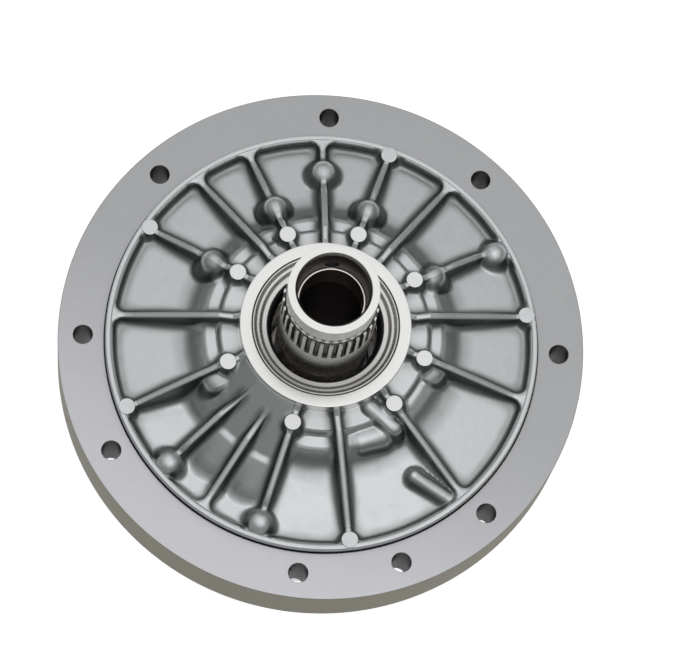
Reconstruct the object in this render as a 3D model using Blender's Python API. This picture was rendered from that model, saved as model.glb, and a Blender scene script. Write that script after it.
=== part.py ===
"""Front oil pump with its stator tube, from an automatic gearbox.

A crescent gear pump. The flanged control body bolts into the gearbox case and holds the
valves, the ribbed pump body sits in its recess over the gears, and the splined stator tube
stands on the axis. The torque converter's hub pushes over the tube, through the lip seal,
and turns the drive gear. Metres, +Z towards the converter, with the origin on the axis at
the end of the rear hub.
"""

import math

import bmesh
import bpy
from mathutils import Matrix, Vector

# Clearances
FIT_GAP = 0.0003
RUNNING_GAP = 0.0004

# Lengths along the axis
REAR_HUB_LENGTH = 0.034
SPIGOT_LENGTH = 0.024
FLANGE_THICKNESS = 0.034
RECESS_DEPTH = 0.026
RIM_STAND = 0.005
HUB_STAND = 0.030
TUBE_STAND = 0.088
GEAR_WIDTH = 0.0138
POCKET_ROOF = 0.0096

# Control body
FLANGE_RADIUS = 0.135
FLANGE_WIDTH = 0.024
FLANGE_CHAMFER = 0.0008
MOUNT_LEDGE = 0.022
REAR_HUB_WALL = 0.0098
CASE_HOLE_RADIUS = 0.005
CASE_HOLE_FROM_EDGE = 0.0128
CASE_HOLE_ANGLES = (88.3, 47.3, -2.0, -46.8, -70.7, -95.5, 209.3, 179.5, 133.6)
PORT_DEPTH = 0.008
PORT_FROM_MESH = 25.0
PORT_SWEEP = 95.0
CHANNEL_HALF_SWEEP = 6.0
CHANNEL_LENGTH = 0.040
REAR_PORT_RADIUS = 0.007
REAR_PORT_FROM_END = 0.009
SUCTION_ANGLE = 172.0
OUTLET_ANGLE = -4.0

# Seals and bearings of the control body
O_RING_WIRE = 0.004
O_RING_PROUD = 0.0012
O_RING_BELOW_MOUNT = 0.0052
SEALING_RING_COUNT = 3
SEALING_RING_WIDTH = 0.0026
SEALING_RING_DEPTH = 0.0032
SEALING_RING_PROUD = 0.0005
SEALING_RING_FIRST = 0.006
SEALING_RING_PITCH = 0.007
THRUST_WASHER_WIDTH = 0.016
THRUST_WASHER_THICKNESS = 0.0025
WASHER_GROOVE_DEPTH = 0.0008
WASHER_GROOVE_WIDTH = 0.004
WASHER_GROOVE_COUNT = 4

# Stator tube
TUBE_RADIUS = 0.0239
TUBE_END_SETBACK = 0.001
TUBE_SHOULDER_WIDTH = 0.0033
TUBE_SHOULDER_THICKNESS = 0.005
COLLAR_STEP = 0.0012
COLLAR_LENGTH = 0.0115
COLLAR_WALL = 0.0049
COLLAR_GROOVE = 0.0062
COLLAR_GROOVE_DEPTH = 0.0008
SPLINE_LENGTH = 0.021
SPLINE_COUNT = 32
SPLINE_DEPTH = 0.0016
MOUTH_DEPTH = 0.018
MOUTH_STEP = 0.0003
BUSHING_WALL = 0.0012
BUSHING_PROUD = 0.0008
BUSHING_LENGTH = 0.020
OIL_HOLE_RADIUS = 0.0036
OIL_HOLE_DEPTH = 0.015

# Pump body
RIM_WIDTH = 0.004
HUB_BUSHING_LENGTH = 0.020
HUB_BUSHING_WALL = 0.002
CONVERTER_HUB_WALL = 0.0036
SEAL_SHOULDER = 0.003
SEAL_WALL = 0.0075
HUB_WALL = 0.0062
HUB_CHAMFER = 0.0008
RIB_STEP_AT_HUB = 0.002
RIB_WIDTH = 0.0042
RIB_DRAFT = 0.0014
RIB_ANGLES = (90, 71, 52, 29.5, 8, -16, -48.5, -82.5, -108, -124, -139.5, -159, 174, 147, 127, 111)
POCKET_CORNER = 0.006
SHELF_HIGH_DROP = 0.010
SHELF_LOW_DROP = 0.014
SHELF_HIGH_WIDTH = 0.010
SHELF_LOW_WIDTH = 0.0075
SHELF_SLOPE = 0.0055
FLOOR_RISE = 0.0105
RAMP_FROM = -159.0
RAMP_TO = -108.0
RAMP_DROP = 0.006
RAMP_FALL = 0.022
RAMP_FROM_RIM = 0.025
RIM_SCOOP_SLOPE = 0.004

# Lip seal in the hub
SEAL_SHEET = 0.0014
SEAL_EYE_GAP = 0.0021
SEAL_EDGE = 0.0007
SEAL_STEP = 0.0013
SEAL_STEP_WIDTH = 0.0026
SEAL_LIP_REACH = 0.0028
SEAL_LIP_WALL = 0.0014
GARTER_WIRE = 0.0009

# Bosses and pads on the pump body, as a distance in from the rim or out from the hub, and an angle
BOSS_RADIUS = 0.0066
BOSS_PROUD = 0.0012
BOSS_FLARE = 1.35
RIM_BOLTS = ((0.0228, 90.0), (0.0100, 28.3), (0.0090, 220.6), (0.0094, -108.0))
HUB_BOLTS = ((0.0256, 147.0), (0.0287, 110.6), (0.0265, 71.0), (0.0223, 25.5))
KNOB_RADIUS = 0.0052
KNOB_SINK = 0.004
KNOBS = ((0.0185, 205.0), (0.0201, -20.7))
PAD_RADIUS = 0.0042
PAD_FLARE = 1.15
PAD_PROUD = 0.0003
INNER_PAD_FROM_HUB = 0.0091
INNER_PAD_ANGLES = (111.4, 71.2, 147.6, 29.9, -17.0, -48.5, -108.0, 201.4)
RIM_PAD_FROM_RIM = 0.0048
RIM_PAD_ANGLES = (147.0, 71.0, 8.0, -82.5, 201.0)
HUB_LOBES = (
    ("finger", (0.0035, -59.5), (0.0181, -54.3), 0.0040, 0.0020),
    ("hump", (0.0150, -70.0), (0.0165, -62.0), 0.0065, 0.0062),
)
RIM_LOBE_DROP = 0.0020
RIM_LOBES = (("capsule", (0.0066, -51.9), (0.0253, -57.1), 0.0040),)

# Bolts and dowels that hold the two bodies together
BOLT_RADIUS = 0.004
BOLT_THREAD_DEPTH = 0.022
BOLT_HOLE_SPARE = 0.002
BOLT_LEAD = 0.001
BOLT_HEAD_FLATS = 0.013
BOLT_HEAD_HEIGHT = 0.0055
BOLT_COUNTERBORE_RADIUS = 0.009
BOLT_COUNTERBORE_DEPTH = 0.0062
DOWEL_RADIUS = 0.004
DOWEL_LEAD = 0.0006
DOWEL_HALF_LENGTH = 0.008
DOWEL_FROM_RIM = 0.011
DOWEL_ANGLES = (8.0, 163.0)

# Gears: the drive gear is on the axis, and the driven ring gear is set off from it
DRIVE_TEETH = 18
DRIVEN_TEETH = 23
DRIVE_GEAR_WALL = 0.0037
DRIVEN_GEAR_WALL = 0.0066
PRESSURE_ANGLE = 25.0
ADDENDUM = 0.75
DEDENDUM = 1.125
BACKLASH = 0.0004
FLANK_POINTS = 3
OFFSET_ANGLE = -82.0
LUG_REACH = 0.0028
LUG_HALF_SWEEP = 10.0
CRESCENT_END_THICKNESS = 0.0016
CRESCENT_HALF_SWEEP = 85.0
CRESCENT_STEPS = 14

# Valve bores: each runs along X at its own Y, from a mouth on the spigot wall
VALVE_BORE_RADIUS = 0.006
VALVE_BORE_HEIGHT = 0.008
RETAINER_THICKNESS = 0.002
RETAINER_WIDTH = 0.009
RETAINER_SETBACK = 0.006
STEM_STEP = 0.0022
SPRING_WIRE = 0.0007
SPRING_SIDE_GAP = 0.001
BORE_END_ROOM = 0.004
BOOST_SLEEVE_LENGTH = 0.025
BOOST_SLEEVE_WALL = 0.0018
BOOST_STEM_GAP = 0.0012
BOOST_STEM_LENGTH = 0.004
PLUG_LENGTH = 0.009
REGULATOR = {"y": -0.040, "inward": -1, "spring": 0.042, "curls": 7, "valve": 0.062, "lands": 4}
CLUTCH_CONTROL = {"y": -0.072, "inward": -1, "spring": 0.030, "curls": 5, "valve": 0.040, "lands": 3}
CONVERTER_FEED = {"y": -0.015, "inward": 1, "spring": 0.023, "curls": 4, "valve": 0.028, "lands": 2}

# How far a cutter runs past the face that it cuts
PAST = 0.002

# Facets round each kind of turned piece
CASTING_FACETS = 36
TUBE_FACETS = 32
RING_FACETS = 28
SMALL_FACETS = 10
BOSS_FACETS = 9
POINTS_PER_CURL = 8

# Heights worked out from the lengths above
Z_SPIGOT = REAR_HUB_LENGTH
Z_MOUNT = Z_SPIGOT + SPIGOT_LENGTH
Z_FACE = Z_MOUNT + FLANGE_THICKNESS
Z_SEAT = Z_FACE - RECESS_DEPTH
Z_ROOF = Z_SEAT + GEAR_WIDTH + 2 * FIT_GAP
Z_FLOOR = Z_ROOF + POCKET_ROOF
Z_RIM = Z_FACE + RIM_STAND
Z_HUB = Z_FACE + HUB_STAND
Z_TIP = Z_FACE + TUBE_STAND
Z_VALVES = Z_SPIGOT + VALVE_BORE_HEIGHT
Z_HEAD_SEAT = Z_SPIGOT + BOLT_COUNTERBORE_DEPTH
Z_SEAL = Z_ROOF + HUB_BUSHING_LENGTH + SEAL_SHOULDER
Z_O_RING = Z_MOUNT - O_RING_BELOW_MOUNT

# Radii worked out from the sizes above
SPIGOT_RADIUS = FLANGE_RADIUS - MOUNT_LEDGE
BODY_RADIUS = FLANGE_RADIUS - FLANGE_WIDTH
CASE_HOLE_CIRCLE = FLANGE_RADIUS - CASE_HOLE_FROM_EDGE
TUBE_SEAT = TUBE_RADIUS + FIT_GAP
REAR_HUB_RADIUS = TUBE_SEAT + REAR_HUB_WALL
TUBE_SHOULDER_RADIUS = TUBE_RADIUS + TUBE_SHOULDER_WIDTH
COLLAR_RADIUS = TUBE_RADIUS - COLLAR_STEP
MOUTH_RADIUS = COLLAR_RADIUS - COLLAR_WALL
BUSHING_SEAT = MOUTH_RADIUS - MOUTH_STEP
BUSHING_INNER_RADIUS = BUSHING_SEAT - FIT_GAP - BUSHING_WALL
TUBE_BORE = BUSHING_INNER_RADIUS + BUSHING_PROUD
HUB_BUSHING_INNER = TUBE_RADIUS + CONVERTER_HUB_WALL
HUB_BORE = HUB_BUSHING_INNER + HUB_BUSHING_WALL + FIT_GAP
SEAL_RADIUS = HUB_BORE + SEAL_WALL
HUB_RADIUS = SEAL_RADIUS + HUB_WALL
RIM_INNER = BODY_RADIUS - RIM_WIDTH
RAMP_END_RADIUS = BODY_RADIUS - RAMP_FROM_RIM
DOWEL_CIRCLE = BODY_RADIUS - DOWEL_FROM_RIM
DRIVE_BORE = HUB_BUSHING_INNER + FIT_GAP
MODULE = (DRIVE_BORE + DRIVE_GEAR_WALL) / (DRIVE_TEETH / 2 - DEDENDUM)
DRIVE_PITCH = MODULE * DRIVE_TEETH / 2
DRIVEN_PITCH = MODULE * DRIVEN_TEETH / 2
GEAR_OFFSET = DRIVEN_PITCH - DRIVE_PITCH
DRIVEN_RADIUS = DRIVEN_PITCH + ADDENDUM * MODULE + DRIVEN_GEAR_WALL + BACKLASH
POCKET_RADIUS = DRIVEN_RADIUS + RUNNING_GAP
PORT_INNER_RADIUS = DRIVE_PITCH - ADDENDUM * MODULE
PORT_OUTER_RADIUS = DRIVEN_PITCH + FIT_GAP
CHANNEL_END_RADIUS = PORT_OUTER_RADIUS + CHANNEL_LENGTH
REAR_PORT_CIRCLE = CHANNEL_END_RADIUS - REAR_PORT_FROM_END
LAND_RADIUS = VALVE_BORE_RADIUS - RUNNING_GAP
STEM_RADIUS = LAND_RADIUS - STEM_STEP
SPRING_RADIUS = VALVE_BORE_RADIUS - SPRING_WIRE - SPRING_SIDE_GAP
BOOST_BORE = LAND_RADIUS - BOOST_SLEEVE_WALL
BOOST_VALVE_RADIUS = BOOST_BORE - RUNNING_GAP
BOOST_STEM_RADIUS = SPRING_RADIUS - SPRING_WIRE - BOOST_STEM_GAP


def polar(radius, angle, z=0.0):
    """A point at a radius and an angle in degrees."""
    turn = math.radians(angle)
    return Vector((radius * math.cos(turn), radius * math.sin(turn), z))


OFFSET_CENTRE = polar(GEAR_OFFSET, OFFSET_ANGLE)
MESH_ANGLE = OFFSET_ANGLE + 180.0
BOLT_PLACES = [(BODY_RADIUS - inward, angle) for inward, angle in RIM_BOLTS]
BOLT_PLACES += [(HUB_RADIUS + outward, angle) for outward, angle in HUB_BOLTS]


def clear_scene():
    for old in list(bpy.data.objects):
        bpy.data.objects.remove(old)


def make_material(name, colour, roughness, metallic):
    material = bpy.data.materials.new(name)
    material.use_nodes = True
    shader = material.node_tree.nodes["Principled BSDF"]
    shader.inputs["Base Color"].default_value = (*colour, 1.0)
    shader.inputs["Roughness"].default_value = roughness
    shader.inputs["Metallic"].default_value = metallic
    return material


def add_object(name, bm, material, place=(0.0, 0.0, 0.0), parent=None):
    """Turns a bmesh into a named object, smooth except at its sharp edges."""
    bmesh.ops.recalc_face_normals(bm, faces=bm.faces)
    mesh = bpy.data.meshes.new(name)
    bm.to_mesh(mesh)
    bm.free()
    mesh.shade_smooth()
    mesh.set_sharp_from_angle(angle=math.radians(32))
    made = bpy.data.objects.new(name, mesh)
    made.location = place
    made.parent = parent
    if material:
        mesh.materials.append(material)
    bpy.context.scene.collection.objects.link(made)
    return made


def add_tool(name, bm, place=(0.0, 0.0, 0.0), parent=None):
    """A helper solid that only shapes other pieces."""
    tool = add_object(name, bm, None, place, parent)
    tool.hide_render = True
    tool.display_type = "WIRE"
    return tool


def shape(piece, operation, tool):
    boolean = piece.modifiers.new(tool.name, "BOOLEAN")
    boolean.operation = operation
    boolean.solver = "EXACT"
    boolean.object = tool


def circle(radius, z, facets, centre=(0.0, 0.0)):
    """A ring of points, level, with its first point at +X."""
    ring = []
    for step in range(facets):
        turn = math.tau * step / facets
        ring.append(Vector((centre[0] + radius * math.cos(turn), centre[1] + radius * math.sin(turn), z)))
    return ring


def level(points, z):
    return [Vector((point[0], point[1], z)) for point in points]


def loft(bm, rings):
    """A closed solid through rings of equal count, capped at both ends."""
    rows = [[bm.verts.new(point) for point in ring] for ring in rings]
    count = len(rows[0])
    for low, high in zip(rows, rows[1:]):
        for step in range(count):
            after = (step + 1) % count
            bm.faces.new((low[step], low[after], high[after], high[step]))
    bm.faces.new(list(reversed(rows[0])))
    bm.faces.new(rows[-1])


def turned(outline, facets, centre=(0.0, 0.0, 0.0)):
    """A ring turned round Z from a closed outline of (radius, height) pairs."""
    bm = bmesh.new()
    start = [bm.verts.new((radius, 0.0, z)) for radius, z in outline]
    edges = [bm.edges.new(pair) for pair in zip(start, start[1:] + start[:1])]
    bmesh.ops.spin(
        bm,
        geom=start + edges,
        cent=(0.0, 0.0, 0.0),
        axis=(0.0, 0.0, 1.0),
        angle=math.tau,
        steps=facets,
        use_merge=True,
    )
    bmesh.ops.translate(bm, verts=bm.verts, vec=centre)
    return bm


def stacked(steps, facets, bm=None, centre=(0.0, 0.0)):
    """A solid of revolution with no bore, from (radius, height) pairs from one end to the other."""
    bm = bm or bmesh.new()
    loft(bm, [circle(radius, z, facets, centre) for radius, z in steps])
    return bm


def torus_outline(radius, wire, z, facets):
    """The round section of a ring, as an outline to turn."""
    outline = []
    for step in range(facets):
        turn = math.tau * step / facets
        outline.append((radius + wire * math.cos(turn), z + wire * math.sin(turn)))
    return outline


def rounded(corners, radius, steps=2):
    """A polygon whose marked corners become arcs, each limited by its two sides.

    Each entry is a point and whether its corner is rounded.
    """
    points = []
    count = len(corners)
    for index, (corner, is_round) in enumerate(corners):
        if not is_round:
            points.append(corner)
            continue
        before = corners[index - 1][0] - corner
        after = corners[(index + 1) % count][0] - corner
        half = before.angle(after) / 2
        reach = min(radius / math.tan(half), 0.48 * before.length, 0.48 * after.length)
        first = corner + before.normalized() * reach
        last = corner + after.normalized() * reach
        for step in range(steps + 1):
            share = step / steps
            points.append(first.lerp(corner, share).lerp(corner.lerp(last, share), share))
    return points


def bay_outline(start, end, inner, outer, half_rib, corner):
    """The plan of the space between two ribs, between two radii, with rounded corners."""
    arc_steps = 2
    corners = []
    for radius, forward in ((outer, True), (inner, False)):
        inset = math.degrees(math.asin(half_rib / radius))
        first = start + inset
        last = end - inset
        for step in range(arc_steps + 1):
            share = step / arc_steps if forward else 1 - step / arc_steps
            place = polar(radius, first + (last - first) * share)
            corners.append((place, step in (0, arc_steps)))
    return rounded(corners, corner)


def rib_top(radius):
    """Height of the ribs' sloping top at a radius."""
    at_hub = Z_HUB - RIB_STEP_AT_HUB
    share = (radius - HUB_RADIUS) / (RIM_INNER - HUB_RADIUS)
    return at_hub + (Z_RIM - at_hub) * min(max(share, 0.0), 1.0)


def bays():
    """Start and end angle of each space between ribs, going round once."""
    turns = sorted(angle % 360 for angle in RIB_ANGLES)
    ends = turns[1:] + [turns[0] + 360]
    return list(zip(turns, ends))


def is_ramp(start, end):
    return RAMP_FROM % 360 <= start and end <= RAMP_TO % 360


def involute_gear(teeth, tip, root, thinning):
    """The outline of a spur gear, a tooth at angle 0. A negative thinning widens the teeth."""
    pressure = math.radians(PRESSURE_ANGLE)
    pitch = MODULE * teeth / 2
    base = pitch * math.cos(pressure)
    half_tooth = math.pi / (2 * teeth) - thinning / (2 * pitch)
    roll = math.tan(pressure) - pressure

    def half_angle(radius):
        if radius <= base:
            return half_tooth + roll
        slope = math.acos(base / radius)
        return half_tooth + roll - (math.tan(slope) - slope)

    radii = [root + (tip - root) * step / (FLANK_POINTS - 1) for step in range(FLANK_POINTS)]
    outline = []
    for tooth in range(teeth):
        middle = math.tau * tooth / teeth
        flank = [(radius, middle - half_angle(radius)) for radius in radii]
        flank += [(radius, middle + half_angle(radius)) for radius in reversed(radii)]
        outline += [(radius * math.cos(turn), radius * math.sin(turn)) for radius, turn in flank]
    return outline


def turn_outline(outline, angle):
    turn = Matrix.Rotation(math.radians(angle), 2)
    return [turn @ Vector(point) for point in outline]


def prism(outline, low, high):
    bm = bmesh.new()
    loft(bm, [level(outline, low), level(outline, high)])
    return bm


def sector(inner, outer, start, end, steps):
    """The plan of a piece of a ring between two angles."""
    angles = [start + (end - start) * step / steps for step in range(steps + 1)]
    return [polar(outer, angle) for angle in angles] + [polar(inner, angle) for angle in reversed(angles)]


def control_body(materials):
    """The flanged rear casting: recess, spigot, rear hub, bolt holes, ports and valve bores."""
    shoulder_seat = TUBE_SHOULDER_RADIUS + FIT_GAP
    z_shoulder = Z_SEAT - TUBE_SHOULDER_THICKNESS - FIT_GAP
    recess = BODY_RADIUS + FIT_GAP
    groove_half = O_RING_WIRE / 2 + FIT_GAP
    groove_floor = SPIGOT_RADIUS + O_RING_PROUD - O_RING_WIRE - FIT_GAP
    ring_groove = SEALING_RING_WIDTH + 2 * FIT_GAP
    ring_floor = REAR_HUB_RADIUS - SEALING_RING_DEPTH
    outline = [
        (TUBE_SEAT, 0.0),
        (TUBE_SEAT, z_shoulder),
        (shoulder_seat, z_shoulder),
        (shoulder_seat, Z_SEAT),
        (recess, Z_SEAT),
        (recess, Z_FACE),
        (FLANGE_RADIUS - FLANGE_CHAMFER, Z_FACE),
        (FLANGE_RADIUS, Z_FACE - FLANGE_CHAMFER),
        (FLANGE_RADIUS, Z_MOUNT),
        (SPIGOT_RADIUS, Z_MOUNT),
        (SPIGOT_RADIUS, Z_O_RING + groove_half),
        (groove_floor, Z_O_RING + groove_half),
        (groove_floor, Z_O_RING - groove_half),
        (SPIGOT_RADIUS, Z_O_RING - groove_half),
        (SPIGOT_RADIUS, Z_SPIGOT),
        (REAR_HUB_RADIUS, Z_SPIGOT),
    ]
    for index in reversed(range(SEALING_RING_COUNT)):
        z = SEALING_RING_FIRST + index * SEALING_RING_PITCH
        outline += [
            (REAR_HUB_RADIUS, z + ring_groove / 2),
            (ring_floor, z + ring_groove / 2),
            (ring_floor, z - ring_groove / 2),
            (REAR_HUB_RADIUS, z - ring_groove / 2),
        ]
    outline.append((REAR_HUB_RADIUS, 0.0))
    body = add_object("control_body", turned(outline, CASTING_FACETS), materials["machined"])

    holes = bmesh.new()
    for angle in CASE_HOLE_ANGLES:
        centre = polar(CASE_HOLE_CIRCLE, angle)
        stacked(
            [(CASE_HOLE_RADIUS, Z_MOUNT - PAST), (CASE_HOLE_RADIUS, Z_FACE + PAST)],
            SMALL_FACETS,
            holes,
            centre,
        )
    shank = BOLT_RADIUS + FIT_GAP
    for radius, angle in BOLT_PLACES:
        steps = [
            (BOLT_COUNTERBORE_RADIUS, Z_SPIGOT - PAST),
            (BOLT_COUNTERBORE_RADIUS, Z_HEAD_SEAT),
            (shank, Z_HEAD_SEAT),
            (shank, Z_SEAT + PAST),
        ]
        stacked(steps, SMALL_FACETS, holes, polar(radius, angle))
    pin = DOWEL_RADIUS + FIT_GAP
    for angle in DOWEL_ANGLES:
        steps = [(pin, Z_SEAT - DOWEL_HALF_LENGTH - FIT_GAP), (pin, Z_SEAT + PAST)]
        stacked(steps, SMALL_FACETS, holes, polar(DOWEL_CIRCLE, angle))
    shape(body, "DIFFERENCE", add_tool("case_and_bolt_holes", holes))

    ports = bmesh.new()
    for side in (1, -1):
        first = MESH_ANGLE + side * PORT_FROM_MESH
        last = first + side * PORT_SWEEP
        plan = sector(PORT_INNER_RADIUS, PORT_OUTER_RADIUS, first, last, 8)
        loft(ports, [level(plan, Z_SEAT - PORT_DEPTH), level(plan, Z_SEAT + PAST)])
    shape(body, "DIFFERENCE", add_tool("gear_ports", ports))

    channels = bmesh.new()
    rear_ports = bmesh.new()
    for angle in (SUCTION_ANGLE, OUTLET_ANGLE):
        spread = (angle - CHANNEL_HALF_SWEEP, angle + CHANNEL_HALF_SWEEP)
        plan = sector((PORT_INNER_RADIUS + PORT_OUTER_RADIUS) / 2, CHANNEL_END_RADIUS, *spread, 3)
        loft(channels, [level(plan, Z_SEAT - PORT_DEPTH + FIT_GAP), level(plan, Z_SEAT + 2 * PAST)])
        steps = [(REAR_PORT_RADIUS, Z_SPIGOT - PAST), (REAR_PORT_RADIUS, Z_SEAT - PORT_DEPTH / 2)]
        stacked(steps, SMALL_FACETS, rear_ports, polar(REAR_PORT_CIRCLE, angle))
    shape(body, "DIFFERENCE", add_tool("port_channels", channels))
    shape(body, "DIFFERENCE", add_tool("rear_ports", rear_ports))
    return body


def seal_parts(materials):
    """The metal-cased lip seal that is pressed into the hub."""
    low = Z_SEAL + FIT_GAP
    top = Z_HUB - FIT_GAP
    outer = SEAL_RADIUS - FIT_GAP
    eye = HUB_BUSHING_INNER + SEAL_EYE_GAP
    step_edge = outer - SEAL_STEP_WIDTH - SEAL_EDGE
    flange_low = top - 2 * SEAL_STEP - SEAL_SHEET
    case = [
        (outer, low),
        (outer, top - SEAL_EDGE),
        (outer - SEAL_EDGE, top),
        (step_edge + SEAL_EDGE, top),
        (step_edge, top - SEAL_STEP),
        (eye + SEAL_SHEET + SEAL_EDGE, top - SEAL_STEP),
        (eye + SEAL_SHEET, top - 2 * SEAL_STEP),
        (eye, top - 2 * SEAL_STEP),
        (eye, flange_low),
        (outer - SEAL_SHEET, flange_low),
        (outer - SEAL_SHEET, low),
    ]
    add_object("seal_case", turned(case, RING_FACETS), materials["steel"])

    body_top = flange_low - FIT_GAP
    body_outer = outer - SEAL_SHEET - FIT_GAP
    room = body_top - low
    back = eye - SEAL_LIP_WALL
    waist = eye + SEAL_LIP_WALL / 2
    lip = [
        (body_outer, body_top),
        (body_outer, body_top - 0.42 * room),
        (waist + GARTER_WIRE, body_top - 0.45 * room),
        (waist, body_top - 0.56 * room),
        (waist, body_top - 0.78 * room),
        (waist + GARTER_WIRE, body_top - 0.9 * room),
        (eye - SEAL_LIP_WALL / 2, body_top - 0.92 * room),
        (eye - SEAL_LIP_REACH, body_top - 0.66 * room),
        (back, body_top - 0.32 * room),
        (back, body_top),
    ]
    add_object("seal_lip", turned(lip, RING_FACETS), materials["rubber"])

    section = torus_outline(waist + FIT_GAP + GARTER_WIRE, GARTER_WIRE, body_top - 0.67 * room, 5)
    add_object("seal_garter_spring", turned(section, RING_FACETS), materials["spring"])


def pump_body(materials):
    """The ribbed front casting over the gears, with its hub for the seal and bushing."""
    bottom = Z_SEAT + FIT_GAP
    outline = [
        (HUB_BORE, bottom),
        (HUB_BORE, Z_SEAL),
        (SEAL_RADIUS, Z_SEAL),
        (SEAL_RADIUS, Z_HUB),
        (HUB_RADIUS - HUB_CHAMFER, Z_HUB),
        (HUB_RADIUS, Z_HUB - HUB_CHAMFER),
        (HUB_RADIUS, rib_top(HUB_RADIUS)),
        (RIM_INNER, Z_RIM),
        (BODY_RADIUS - FLANGE_CHAMFER, Z_RIM),
        (BODY_RADIUS, Z_RIM - FLANGE_CHAMFER),
        (BODY_RADIUS, bottom),
    ]
    body = add_object("pump_body", turned(outline, CASTING_FACETS), materials["cast"])
    high = Z_HUB + PAST
    half = RIB_WIDTH / 2
    shelf_end = HUB_RADIUS + SHELF_HIGH_WIDTH
    low_end = shelf_end + SHELF_LOW_WIDTH

    deep = bmesh.new()
    low_shelf = bmesh.new()
    high_shelf = bmesh.new()
    ramps = bmesh.new()
    for start, end in bays():
        ramp = is_ramp(start, end)
        inner = RAMP_END_RADIUS if ramp else low_end
        slope = RIM_SCOOP_SLOPE if ramp else SHELF_SLOPE
        floor_plan = bay_outline(
            start, end, inner + slope, RIM_INNER - RIB_DRAFT, half + RIB_DRAFT, POCKET_CORNER
        )
        edge_plan = bay_outline(start, end, inner, RIM_INNER, half + RIB_DRAFT / 2, POCKET_CORNER)
        top_plan = bay_outline(start, end, inner, RIM_INNER, half, POCKET_CORNER)
        floor = sloped(floor_plan, (start + end) / 2, inner, 0.0 if ramp else FLOOR_RISE)
        edge_height = Z_HUB - SHELF_LOW_DROP + FIT_GAP
        loft(deep, [floor, level(edge_plan, edge_height), level(top_plan, high)])
        if ramp:
            sides = 3
            inset = math.degrees(math.asin((half + RIB_DRAFT) / HUB_RADIUS))
            spread = (start + inset, end - inset)
            wide = (start + inset / 2, end - inset / 2)
            ramp_reach = RAMP_END_RADIUS + POCKET_CORNER
            low_plan = sector(HUB_RADIUS, ramp_reach, *spread, sides)
            for index, place in enumerate(low_plan):
                low_plan[index].z = Z_HUB - RAMP_DROP - (RAMP_FALL if index <= sides else 0.0)
            high_plan = level(sector(HUB_RADIUS, ramp_reach, *wide, sides), high + FIT_GAP)
            ramp_solid(ramps, low_plan, high_plan, sides)
            continue
        low_plan = shelf_plan(start, end, shelf_end, low_end + POCKET_CORNER)
        loft(low_shelf, [level(low_plan, Z_HUB - SHELF_LOW_DROP), level(low_plan, high - FIT_GAP)])
        high_plan = shelf_plan(start, end, HUB_RADIUS, shelf_end + RIB_DRAFT)
        loft(high_shelf, [level(high_plan, Z_HUB - SHELF_HIGH_DROP), level(high_plan, high + FIT_GAP)])
    shape(body, "DIFFERENCE", add_tool("deep_bays", deep))
    shape(body, "DIFFERENCE", add_tool("low_shelves", low_shelf))
    shape(body, "DIFFERENCE", add_tool("high_shelves", high_shelf))
    shape(body, "DIFFERENCE", add_tool("ramp_bays", ramps))

    domes = bmesh.new()
    for radius, angle in BOLT_PLACES:
        dome(domes, BOSS_RADIUS, rib_top(radius) + BOSS_PROUD, polar(radius, angle))
    for outward, angle in KNOBS:
        radius = HUB_RADIUS + outward
        dome(domes, KNOB_RADIUS, rib_top(radius) - KNOB_SINK, polar(radius, angle))
    shape(body, "UNION", add_tool("boss_domes", domes))

    pads = bmesh.new()
    inner_circle = HUB_RADIUS + INNER_PAD_FROM_HUB
    for angle in INNER_PAD_ANGLES:
        pad(pads, inner_circle, angle, rib_top(inner_circle) + PAD_PROUD)
    for angle in RIM_PAD_ANGLES:
        pad(pads, BODY_RADIUS - RIM_PAD_FROM_RIM, angle, Z_RIM + PAD_PROUD)
    shape(body, "UNION", add_tool("ejector_pads", pads))

    for name, first, last, width, drop in HUB_LOBES:
        radii = [HUB_RADIUS + outward for outward, angle in (first, last)]
        ends = [polar(radii[0], first[1]), polar(radii[1], last[1])]
        tops = [rib_top(radius) - drop for radius in radii]
        shape(body, "UNION", add_tool(name + "_lobe", lobe_solid(ends, tops, width)))
    for name, first, last, width in RIM_LOBES:
        ends = [polar(BODY_RADIUS - inward, angle) for inward, angle in (first, last)]
        tops = [rib_top(end.length) - RIM_LOBE_DROP for end in ends]
        shape(body, "UNION", add_tool(name + "_lobe", lobe_solid(ends, tops, width)))

    below = Z_SEAT - PAST
    pocket = bmesh.new()
    stacked([(POCKET_RADIUS, below), (POCKET_RADIUS, Z_ROOF)], CASTING_FACETS, pocket, OFFSET_CENTRE)
    shank = BOLT_RADIUS + FIT_GAP
    hole_end = Z_SEAT + BOLT_THREAD_DEPTH + BOLT_HOLE_SPARE
    for radius, angle in BOLT_PLACES:
        stacked([(shank, below), (shank, hole_end)], SMALL_FACETS, pocket, polar(radius, angle))
    pin = DOWEL_RADIUS + FIT_GAP
    for angle in DOWEL_ANGLES:
        steps = [(pin, below), (pin, Z_SEAT + DOWEL_HALF_LENGTH + 2 * FIT_GAP)]
        stacked(steps, SMALL_FACETS, pocket, polar(DOWEL_CIRCLE, angle))
    shape(body, "DIFFERENCE", add_tool("gear_pocket_and_holes", pocket))
    shape(body, "UNION", add_tool("crescent", crescent()))


def sloped(plan, angle, inner, rise):
    """A plan laid on a flat floor that climbs from the rim towards the hub along an angle."""
    middle = polar(1.0, angle)
    climb = rise / (RIM_INNER - inner)
    return [Vector((place.x, place.y, Z_FLOOR + climb * (RIM_INNER - place.dot(middle)))) for place in plan]


def shelf_plan(start, end, inner, outer):
    """The plan of a shelf by the hub, between the drafted sides of two ribs."""
    inset = math.degrees(math.asin((RIB_WIDTH / 2 + RIB_DRAFT / 2) / inner))
    return sector(inner, outer, start + inset, end - inset, 2)


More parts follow.
